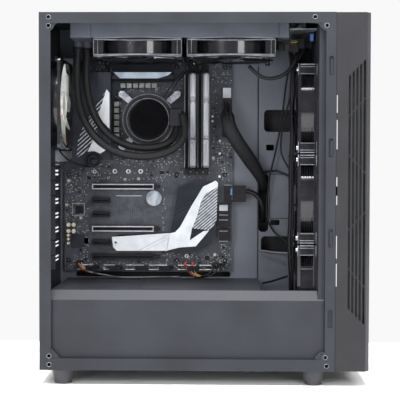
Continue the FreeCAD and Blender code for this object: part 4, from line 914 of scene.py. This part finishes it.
frames = [((low + high) / 2 - 1.27, 69.0, 138.5 + s * 3.2) for low, high in headerLength.values()
          for s in (-1, 1)]
addBlocks("headerShrouds", frames, [(high - low + 2.4, 4.4, 0.9) for low, high in headerLength.values()
                                    for s in (-1, 1)],
          "whiteSilk")
addBlocks("lightPanel", [(247.0, 69.9, 210.0 + 3.6 * k) for k in range(4)], [(3.4, 1.6, 1.6)] * 4,
          "whiteSilk")
print("board parts made")

# fan frames: dark corner posts that hide the screws, and pale strips painted along the rim edges as
# highlights
frameTrim = {"post": 14.6, "side": -52.6, "corner": 52.4, "deep": 22.4, "near": -60.3,
             "bars": (58.6, 55.4, 46.2)}
frontFans = [(351.3, z) for z in (362.9, 242.0, 121.1)]
topFans = [(124.5, 444.3), (249.5, 444.3)]
posts, bars, ribs, rimHighlights = [], [], [], []
for x, z in frontFans:
    for s in (-1, 1):
        posts.append(((x, frameTrim["side"], z + s * frameTrim["corner"]),
                      (frameTrim["deep"], frameTrim["post"], frameTrim["post"])))
        # pale bars painted along the flange edges as highlights
        bars += [((x, frameTrim["near"], z + s * level), (19.0, 0.8, wide))
                 for level, wide in zip(frameTrim["bars"], (1.3, 0.8, 0.8))]
        ribs += [((x + shift, -58.4, z + s * 36.5), (0.5, 0.6, 13.0))
                 for shift in (-6.6, -3.3, 0.0, 3.3, 6.6)]
        # pale strips painted at the rim edges as highlights
        rimHighlights += [((x + t * 12.1, frameTrim["near"], z + s * 52.0), (0.8, 0.8, 15.0)) for t in (-1, 1)]
    rimHighlights.append(((x, -58.6, z + 27.5), (16.5, 0.6, 0.7)))
for x, z in topFans:
    for s in (-1, 1):
        posts.append(((x + s * frameTrim["corner"], frameTrim["side"], z),
                      (frameTrim["post"], frameTrim["post"], frameTrim["deep"])))
        bars += [((x + s * level, frameTrim["near"], z), (wide, 0.8, 19.0))
                 for level, wide in ((58.6, 0.8), (53.0, 0.7))]
addBlocks("fanCornerPosts", [p[0] for p in posts], [p[1] for p in posts], "blackNylon",
          chamfer=0.8)
for name, parts, wanted in (("fanCornerHighlights", bars, "paleTrimAndPaintedHighlight"), ("fanDuctRibs", ribs, "blackNylon"),
                            ("fanRimHighlights", rimHighlights, "paleTrimAndPaintedHighlight")):
    addBlocks(name, [p[0] for p in parts], [p[1] for p in parts], wanted)


def addTubes(name, paths, radiusMm, wanted, sides=8):
    # thin closed tubes along several paths, joined as one piece
    verts, faces, start = [], [], 0
    for path in paths:
        rings, quads, _ = tubeAlong(path, radiusMm * mm, sides)
        verts.append(rings)
        faces += (quads + start).tolist()
        faces += [[start + j for j in range(sides)][::-1],
                  [start + len(rings) - sides + j for j in range(sides)]]
        start += len(rings)
    piece = addPiece(name, np.concatenate(verts), faces, wanted, smooth=True)
    outward(piece)
    return piece


def bowedHighlightLine(x, z, rise):
    # The line of a pale highlight painted along a top fan's bowed rim edge, from corner to corner: the middle
    # stands off the ends by the rise, as a cosine.
    t = np.linspace(-1, 1, 25)
    return np.stack([x + 59.0 * t, np.full(25, -60.4), z + rise * np.cos(np.pi * t / 2) ** 2], -1)


# pale tubes painted along the top fans' bowed rim edges as highlights
for k, (x, z) in enumerate(topFans):
    rises = ((11.9, 1.6), (-11.9, 1.8), (9.9, -0.6), (-9.9, 0.7))  # level off the fan's middle, and bow
    addTubes(f"topFanRimHighlights_{k + 1}", [toRow(bowedHighlightLine(x, z + level, rise)) for level, rise in rises], 0.62,
             "paleTrimAndPaintedHighlight")

# black screw heads stand over the board's and the top fans' steel ones
screwHead = [(0.8, 68.9), (0.8, 68.2), (2.2, 68.2), (3.1, 68.9), (3.1, 70.98), (0.8, 70.98)]
boardScrews = [(14.4, 405.0), (171.8, 427.8), (241.7, 427.8), (14.4, 272.9), (171.8, 272.9), (241.7, 272.9),
               (14.4, 148.4),
               (171.8, 148.4), (241.7, 148.4)]
addTurned("boardScrewHeads", screwHead, "y", [(x, 0, z) for x, z in boardScrews], "blackOxide")
topHead = [(0.8, 429.2), (2.4, 429.2), (3.35, 430.0), (3.35, 431.7), (0.8, 431.7)]
addTurned("topFanScrewHeads", topHead, "z", [(x + s * 52.5, t * 52.5, 0) for x, _ in topFans
                                             for s in (-1, 1) for t in (-1, 1)],
          "blackOxide")

# chassis details: lances in the hook slots, tank faces of the radiator, a dark mesh behind the front vents
lances = [(379.6, -103.6, z - 1.4) for z in (416.0, 310.0, 193.0)]
addBlocks("hookLances", lances, [(3.6, 0.8, 20.6)] * 3, "powderCoatSteel", chamfer=0.3)
addBlocks("hookBacks", [(378.5, -102.2, z) for z in (416.0, 310.0, 193.0, 88.0)], [(8.0, 0.5, 26.0)] * 4,
          "darkShroudPlastic",
          chamfer=0.1)
tank = [(35.2, 475.8), (37.0, 482.6), (60.0, 482.6), (61.6, 475.8), (61.6, 459.6), (60.0, 457.9),
        (37.0, 457.9), (35.2, 459.6)]
addPlates("radiatorTankFace", [tank], -61.2, -59.9, "radiatorPaint", bevelMm=0.8)
addPlates("radiatorSideRail", [[(62.6, 457.2), (312.0, 457.2), (312.0, 482.9), (62.6, 482.9)]], -61.0,
          -59.9, "radiatorPaint",
          bevelMm=0.4)
addPlates("radiatorEndTank", [[(314.6, 459.4), (325.2, 459.4), (326.2, 460.4), (326.2, 482.4),
                               (314.0, 482.4), (314.0, 460.0)]],
          -61.4, -59.9, "radiatorPaint", bevelMm=0.8)
ventMesh = {"x": (399.0, 424.2), "z": (75.0, 430.0), "y": -97.0}
addPlates("frontVentMesh", [[(ventMesh["x"][0], ventMesh["z"][0]), (ventMesh["x"][1], ventMesh["z"][0]),
                             (ventMesh["x"][1], ventMesh["z"][1]), (ventMesh["x"][0], ventMesh["z"][1])]],
          ventMesh["y"], ventMesh["y"] + 0.6, "meshCloth", body="front_panel", bevelMm=0)

# hose fittings: ribbed collars at the radiator
collar = [(5.4, 0.0), (6.7, 0.4), (6.9, 1.2), (6.9, 3.4), (6.5, 4.0), (6.9, 4.6), (6.9, 6.6), (6.5, 7.2),
          (6.9, 7.8), (6.7, 9.4), (5.4, 9.8)]
addTurned("hoseCollars", [(r, 439.8 + h) for r, h in collar], "z", [(49.3, 0.2, 0), (38.0, -10.2, 0)],
          "satinBlackAbs")

# the wide flat sleeve of the main power lead: an ellipse carried along the route, wide in the board's plane
mainLead = {"route": atxRoute, "wide": [(0.0, 13.0), (0.12, 20.0), (0.62, 20.0), (0.85, 14.0), (1.0, 13.0)],
            "thick": 11.6}


def addFlatLead(look):
    # point = line + half width cos t side + half thickness sin t depth; side is square to the line in the
    # plane of the board, so the lead lies flat. The half width follows the share of the way along.
    line = smoothLine(toRow(look["route"]))
    along = np.gradient(line, axis=0)
    along /= np.linalg.norm(along, axis=1)[:, None]
    side = np.cross(along, [0.0, 1.0, 0.0])
    strength = np.linalg.norm(side, axis=1)
    steep = strength < 0.35
    side[steep] = side[np.argmax(~steep)] if steep[0] else side[~steep][-1]
    side /= np.linalg.norm(side, axis=1)[:, None]
    for k in range(12):
        side[1:-1] = (side[:-2] + side[1:-1] + side[2:]) / 3
    side -= along * (side * along).sum(1)[:, None]
    side /= np.linalg.norm(side, axis=1)[:, None]
    depth = np.cross(along, side)
    travel = np.concatenate([[0], np.cumsum(np.linalg.norm(np.diff(line, axis=0), axis=1))])
    share = travel / travel[-1]
    half = np.interp(share, *zip(*look["wide"])) * mm / 2
    turn = np.linspace(0, 2 * np.pi, 32, endpoint=False)
    rings = (line[:, None] + np.cos(turn)[None, :, None] * half[:, None, None] * side[:, None]
             + np.sin(turn)[None, :, None] * look["thick"] * mm / 2 * depth[:, None])
    count = len(line)
    caps = [list(range(32))[::-1], list(range((count - 1) * 32, count * 32))]
    piece = addPiece("atxSleeve", rings.reshape(-1, 3),
                     [*gridFaces(count, 32, closeColumns=True).tolist(), *caps],
                     "braidedNylon", smooth=True)
    outward(piece)
    layer = piece.data.uv_layers.new(name="UVMap")
    corners = np.empty(len(piece.data.loops), int)
    piece.data.loops.foreach_get("vertex_index", corners)
    layer.data.foreach_set("uv", np.column_stack([(corners % 32) / 32, travel[np.minimum(corners // 32,
                                                      count - 1)] / mm]).ravel())
    return piece, line, travel[-1]


atxSleeve, atxLine, atxLength = addFlatLead(mainLead)


def plugWire(k):
    # one of the plug's wires: out of its hole, down, and in towards the mouth of the sleeve
    column, row = k % 2, k // 2
    fromX, fromZ = 240.4 + 5.6 * column, 331.0 + 4.2 * row
    toX, toZ = 240.5 + 1.15 * row, 340.0 - 4.5 * column
    return toRow([(fromX, 49.5, fromZ), (fromX, 38.0, fromZ - 0.5),
                  (fromX + 1.0, 29.5 - 2.5 * column, fromZ - 6.0 - 0.1 * row),
                  ((fromX + toX) / 2 + 1.5, 24.0 - 3.0 * column, 340.0 + 0.34 * (fromZ - 340.0)),
                  (toX + 3.0, 21.5, toZ - 6.0), (toX + 8.5, 25.0, toZ - 16.0)])


plugFan = addTubes("atxPlugWires", [smoothLine(plugWire(k)) for k in range(24)], 1.05, "blackPvc")
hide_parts("atx_cable")

# free leads inside the case, each with its own route, diameter and finish
leads = {
    "rearFanLead": {"route": [(6.0, 12.0, 312.0), (14.7, 18.0, 298.0), (27.4, 20.0, 289.7),
                              (40.1, 20.0, 285.8), (50.0, 18.0, 284.2),
                              (60.0, 16.0, 284.6), (67.0, 15.0, 291.0)], "d": 2.6, "finish": "blackPvc"},
    "pumpLead": {"route": [(155.6, 34.0, 384.0), (163.0, 32.0, 395.9), (173.8, 34.0, 410.3),
                           (182.8, 40.0, 420.0)], "d": 2.4,
                 "finish": "blackPvc"},
    "pumpLeadTwin": {"route": [(160.4, 35.0, 383.3), (168.4, 33.0, 395.9), (177.4, 36.0, 408.5),
                               (184.6, 42.0, 418.0)], "d": 2.4,
                     "finish": "blackPvc"},
    "audioLead": {"route": [(37.0, 64.0, 140.8), (43.4, 63.0, 133.4), (55.0, 62.0, 129.6),
                            (70.3, 62.0, 127.4), (86.0, 61.0, 124.6),
                            (102.6, 62.0, 124.0), (126.0, 66.0, 124.3), (148.3, 72.0, 124.4),
                            (176.0, 73.0, 124.4)], "d": 2.4,
                  "finish": "greyPvc"},
    "frontHarness": {"route": [(331.9, 12.0, 446.0), (334.5, 10.0, 432.0), (335.4, 9.0, 412.0),
                               (334.6, 8.0, 388.0), (334.4, 9.0, 362.0),
                               (335.4, 10.0, 335.0), (334.3, 9.0, 309.0), (333.2, 8.0, 283.0),
                               (333.6, 9.0, 256.0), (333.9, 10.0, 229.0),
                               (332.8, 10.0, 203.0), (331.6, 9.0, 180.0), (333.2, 8.0, 153.0),
                               (334.4, 9.0, 131.0),
                               (334.6, 12.0, 113.0)], "d": 6.6, "finish": "blackPvc"},
    "harnessLead": {"route": [(336.4, 4.0, 441.0), (337.0, 3.0, 415.0), (336.6, 2.0, 388.0),
                              (333.0, 1.0, 360.0), (335.6, 1.0, 333.0),
                              (336.6, 2.0, 306.0), (334.8, 3.0, 279.0), (336.8, 2.0, 251.0),
                              (336.2, 1.0, 222.0), (334.6, 1.0, 195.0),
                              (336.2, 2.0, 168.0), (336.6, 3.0, 140.0), (335.0, 5.0, 118.0)], "d": 2.8,
                    "finish": "blackPvc"},
    "longLead": {"route": [(331.5, 58.0, 421.8), (327.6, 60.0, 396.2), (325.4, 61.0, 372.0),
                           (321.6, 62.0, 345.0), (316.8, 62.0, 318.0),
                           (310.6, 62.0, 291.0), (305.0, 63.0, 268.0), (303.4, 64.0, 248.0),
                           (301.4, 66.0, 228.0), (302.6, 66.0, 208.0),
                           (312.0, 66.0, 190.5), (324.0, 64.0, 181.8), (334.5, 60.0, 173.5)], "d": 2.6,
                 "finish": "blackPvc"},
    "bowedLead": {"route": [(337.6, 52.0, 395.9), (331.4, 55.0, 374.0), (325.2, 56.0, 350.5),
                            (321.5, 57.0, 327.6), (321.3, 57.0, 306.5),
                            (327.0, 56.0, 291.9), (335.0, 52.0, 279.5)], "d": 2.4, "finish": "blackPvc"},
    "crossLead": {"route": [(299.0, 70.0, 277.0), (310.3, 66.0, 279.9), (323.2, 64.0, 277.2),
                            (335.0, 58.0, 270.8)], "d": 3.4,
                  "finish": "blackPvc"},
    "lowFlatLead": {"route": [(292.5, 71.0, 163.2), (304.9, 69.0, 161.8), (321.0, 67.0, 160.0),
                              (334.5, 62.0, 160.4)], "d": 3.4,
                    "finish": "greyPvc"},
    "lowLead": {"route": [(296.0, 60.0, 117.0), (305.0, 56.0, 119.0), (313.1, 52.0, 121.8),
                          (322.0, 48.0, 125.4), (331.0, 42.0, 129.0)],
                "d": 3.0, "finish": "blackPvc"},
    "hubLead": {"route": [(328.9, -14.0, 417.2), (334.0, -14.0, 422.0), (339.3, -14.0, 429.1),
                          (345.6, -14.0, 437.0), (351.0, -13.0, 448.6)],
                "d": 4.0, "finish": "blackPvc"},
    "hubLeadRed": {"route": [(322.0, -18.0, 456.5), (327.5, -20.0, 452.4), (333.0, -21.0, 451.2),
                             (340.0, -20.0, 452.6), (347.0, -18.0, 455.4)],
                   "d": 1.8, "finish": "redPvc"},
    "hubLeadYellow": {"route": [(322.6, -19.0, 459.4), (328.0, -21.0, 455.6), (333.5, -22.5, 454.0),
                                (340.5, -21.0, 455.4),
                                (347.4, -18.0, 458.8)], "d": 1.8, "finish": "yellowPvc"},
    "hubLeadGreen": {"route": [(323.4, -18.0, 461.8), (329.0, -20.0, 458.4), (334.4, -21.5, 456.6),
                               (341.2, -20.0, 458.0),
                               (347.8, -17.0, 461.2)], "d": 1.8, "finish": "greenPvc"},
    "panelLeadRed": {"route": [(185.4, 63.5, 140.0), (188.0, 60.0, 134.5), (193.0, 58.0, 129.5),
                               (199.5, 60.0, 126.0), (207.5, 66.0, 124.4)],
                     "d": 1.5, "finish": "redPvc"},
    "panelLeadYellow": {"route": [(197.0, 63.5, 141.0), (196.6, 59.0, 136.0), (199.0, 57.0, 131.0),
                                  (204.5, 59.0, 127.6),
                                  (213.0, 65.0, 124.6)], "d": 1.5, "finish": "yellowPvc"},
    "panelLeadBrown": {"route": [(189.6, 63.5, 140.6), (191.0, 59.0, 135.5), (195.5, 57.0, 131.0),
                                 (202.0, 58.5, 127.0), (210.0, 64.0, 124.4)],
                       "d": 1.5, "finish": "ceramicTan"},
    "panelLeadBlack": {"route": [(226.0, 63.0, 140.4), (223.0, 58.0, 134.5), (217.0, 56.0, 129.0),
                                 (208.0, 59.0, 125.8), (198.0, 66.0, 124.2)],
                       "d": 2.4, "finish": "blackPvc"},
    "panelLeadDark": {"route": [(232.0, 63.0, 141.0), (230.5, 57.0, 135.0), (224.0, 54.5, 129.0),
                                (214.0, 57.0, 126.0), (203.0, 64.0, 124.4)],
                      "d": 2.4, "finish": "blackPvc"},
    "audioLeadOrange": {"route": [(29.0, 64.0, 145.5), (32.0, 60.0, 141.0), (36.0, 59.0, 136.5),
                                  (42.0, 60.0, 132.6), (49.0, 61.0, 131.0)],
                        "d": 2.0, "finish": "orangeAbs"},
    "audioLeadTan": {"route": [(33.5, 64.0, 146.5), (35.2, 59.5, 141.5), (38.5, 58.5, 137.0),
                               (44.0, 59.5, 133.6), (50.5, 61.0, 131.0)],
                     "d": 2.0, "finish": "ceramicTan"},
}
for name, lead in leads.items():
    addCord(name, lead["route"], lead["d"], lead["finish"], sides=10)


def coilRoute(centre, radius, turns, spread):
    # Loose turns of a put-by lead: a circle whose radius and height wander a little from turn to turn.
    angle = np.linspace(0, 2 * np.pi * turns, int(turns * 14))
    wander = radius + spread * 0.5 * np.sin(angle * 0.37 + 0.6)
    return [(centre[0] + r * math.cos(a), centre[1] + spread * math.sin(a * 0.31),
             centre[2] + r * math.sin(a))
            for a, r in zip(angle, wander)]


addCord("rearFanCoil", coilRoute((57.0, 19.0, 293.5), 7.4, 3.2, 2.6), 2.6, "blackPvc",
        sides=10)
print("leads made:", len(leads) + 1)

# tray: a black strip painted as the shadow where its front part steps forward, and black strips painted as
# the shade in the groove round the raised field
addBlocks("trayStepShadow", [(289.6, 74.9, 277.0)], [(1.5, 0.5, 308.0)], "blackNylon", chamfer=0.1)
groove = {"left": 306.0, "right": 336.0, "low": 210.0, "high": 274.0}
addBlocks("trayGrooveShade", [(321.0, 74.9, groove["high"]), (321.0, 74.9, groove["low"]),
                         (groove["left"], 74.9, 242.0),
                         (groove["right"], 74.9, 242.0)], [(30.0, 0.4, 0.9)] * 2 + [(0.9, 0.4, 63.0)] * 2,
          "blackNylon",
          chamfer=0.1)

# plugs and connector bodies at the ends of the leads
plugs = {"hubPlugs": ([(324.0, -30.0, 456.0), (335.0, -24.0, 446.0), (318.0, -20.0, 449.0),
                       (345.0, -26.0, 452.0), (311.5, -10.0, 452.0)],
                      [(11.0, 8.0, 9.0), (12.0, 9.0, 10.0), (9.0, 8.0, 12.0), (9.0, 8.0, 14.0),
                       (8.0, 10.0, 13.0)], "blackNylon"),
         "hubBluePlug": ([(358.4, -34.0, 459.6)], [(4.6, 7.0, 9.5)], "blueAbs"),
         "panelPlugRed": ([(184.7, 64.5, 144.2), (195.2, 64.5, 144.6)], [(3.4, 7.0, 5.0), (3.0, 7.0, 5.0)],
                          "redPvc"),
         "panelPlugs": ([(225.5, 65.0, 142.6), (232.5, 65.0, 143.0), (239.5, 65.0, 142.6)],
                        [(5.8, 8.0, 4.4)] * 3, "blackNylon"),
         "audioPlug": ([(31.2, 66.0, 146.0)], [(9.0, 7.0, 4.0)], "blackNylon"),
         "driveSocketWhite": ([(239.5, 56.4, 225.6)], [(12.6, 1.0, 8.6)], "greyPrint"),
         "driveSocketLips": ([(239.6, 56.4, z) for z in (215.4, 208.2, 192.2, 177.6)],
                             [(12.6, 1.0, 0.8)] * 4, "greyPrint"),
         "blueSocket": ([(250.8, 60.0, 248.8)], [(3.2, 1.8, 9.4)], "blueAbs"),
         "frontUsbSocket": ([(246.4, 60.6, 247.7)], [(11.0, 1.0, 22.4)], "greyPrint"),
         "powerSocketGrey": ([(244.0, 60.4, 391.0)], [(12.0, 1.0, 15.0)], "greyPrint"),
         "audioCover": ([(28.0, 69.6, 176.4)], [(18.6, 2.8, 18.6)], "darkShroudPlastic")}
for name, (centres, sizes, wanted) in plugs.items():
    addBlocks(name, centres, sizes, wanted, chamfer=0.6)
chipEdges = [(28.3, 70.7, 222.3 + s * 8.7) for s in (-1, 1)] + [(28.3 + s * 8.7, 70.7, 222.3)
    for s in (-1, 1)]
addBlocks("chipFrame", chipEdges, [(18.4, 0.5, 0.9)] * 2 + [(0.9, 0.5, 16.4)] * 2, "greyPrint")
ties = [(335.0, 5.0, z) for z in (420.0, 355.0, 300.0, 232.0, 160.0)]
addTurned("harnessTies", [(4.6, -1.2), (5.4, -1.2), (5.4, 1.2), (4.6, 1.2)], "z", ties, "blackNylon",
          sides=20)
print("plugs and ties made")


# floor: one flat sheet to just behind the case
# a pale table top, and a world that is white to the eye and a soft grey as light, so every side stays in view
table = bpy.data.meshes.new("table")
tableEdge = {"left": -1.6, "right": 1.6, "front": -2.6, "back": 0.26}
table.from_pydata([(x, y, -0.0004) for x, y in ((tableEdge["left"], tableEdge["front"]),
                                                (tableEdge["right"], tableEdge["front"]),
                                                (tableEdge["right"], tableEdge["back"]),
                                                (tableEdge["left"], tableEdge["back"]))],
                  [], [(0, 1, 2, 3)])
tableTop = bpy.data.objects.new("table", table)
bpy.context.scene.collection.objects.link(tableTop)
table.materials.append(grained("tablePaper",
                               {"dark": "f4f4f4", "light": "fcfcfc", "cloudMm": 400, "grainMm": 4,
                                "rough": 0.75,
                                              "bump": 0.02, "deepMm": 0.02, "speck": 0.03}))
world = bpy.data.worlds.new("studioLight")
world.use_nodes = True
bpy.context.scene.world = world
seen = addNode(world.node_tree, "LightPath").outputs["Is Camera Ray"]
strength = addNode(world.node_tree, "MapRange", {"To Min": 0.4, "To Max": 0.98}, {"Value": seen})
background = world.node_tree.nodes["Background"]
background.inputs["Color"].default_value = toLinear("fbfbfc")
world.node_tree.links.new(strength.outputs["Result"], background.inputs["Strength"])
# soft boxes: name, place, what it faces, size, power
lamps = [("keyBox", (-0.95, -2.1, 1.15), (0.0, 0.0, 0.25), 0.7, 19),
         ("fillBox", (1.05, -2.1, 1.0), (0.0, 0.0, 0.25), 0.7, 16),
         ("lowBoxLeft", (-0.95, -2.1, 0.35), (0.0, 0.0, 0.25), 0.5, 7),
         ("lowBoxRight", (1.05, -2.1, 0.3), (0.0, 0.0, 0.25), 0.5, 7),
         ("topBox", (0.0, -0.6, 1.9), (0.0, 0.0, 0.25), 0.9, 84),
         ("backBoxLeft", (-0.9, 1.2, 1.3), (0.0, 0.0, 0.25), 1.0, 20),
         ("backBoxRight", (1.0, 1.2, 1.3), (0.0, 0.0, 0.25), 1.0, 20)]
bpy.context.scene.view_settings.view_transform = "Standard"
for name, place, aim, size, power in lamps:
    data = bpy.data.lights.new(name, "AREA")
    data.size = size
    data.energy = power
    lamp = bpy.data.objects.new(name, data)
    away = np.array(place) - np.array(aim)
    away /= np.linalg.norm(away)
    side = np.cross([0.0, 0.0, 1.0], away)
    side /= np.linalg.norm(side)
    turn = np.eye(4)
    turn[:3, :3] = np.column_stack([side, np.cross(away, side), away])
    turn[:3, 3] = place
    lamp.matrix_world = Matrix(turn.tolist())
    bpy.context.scene.collection.objects.link(lamp)
print("stage and lights set")
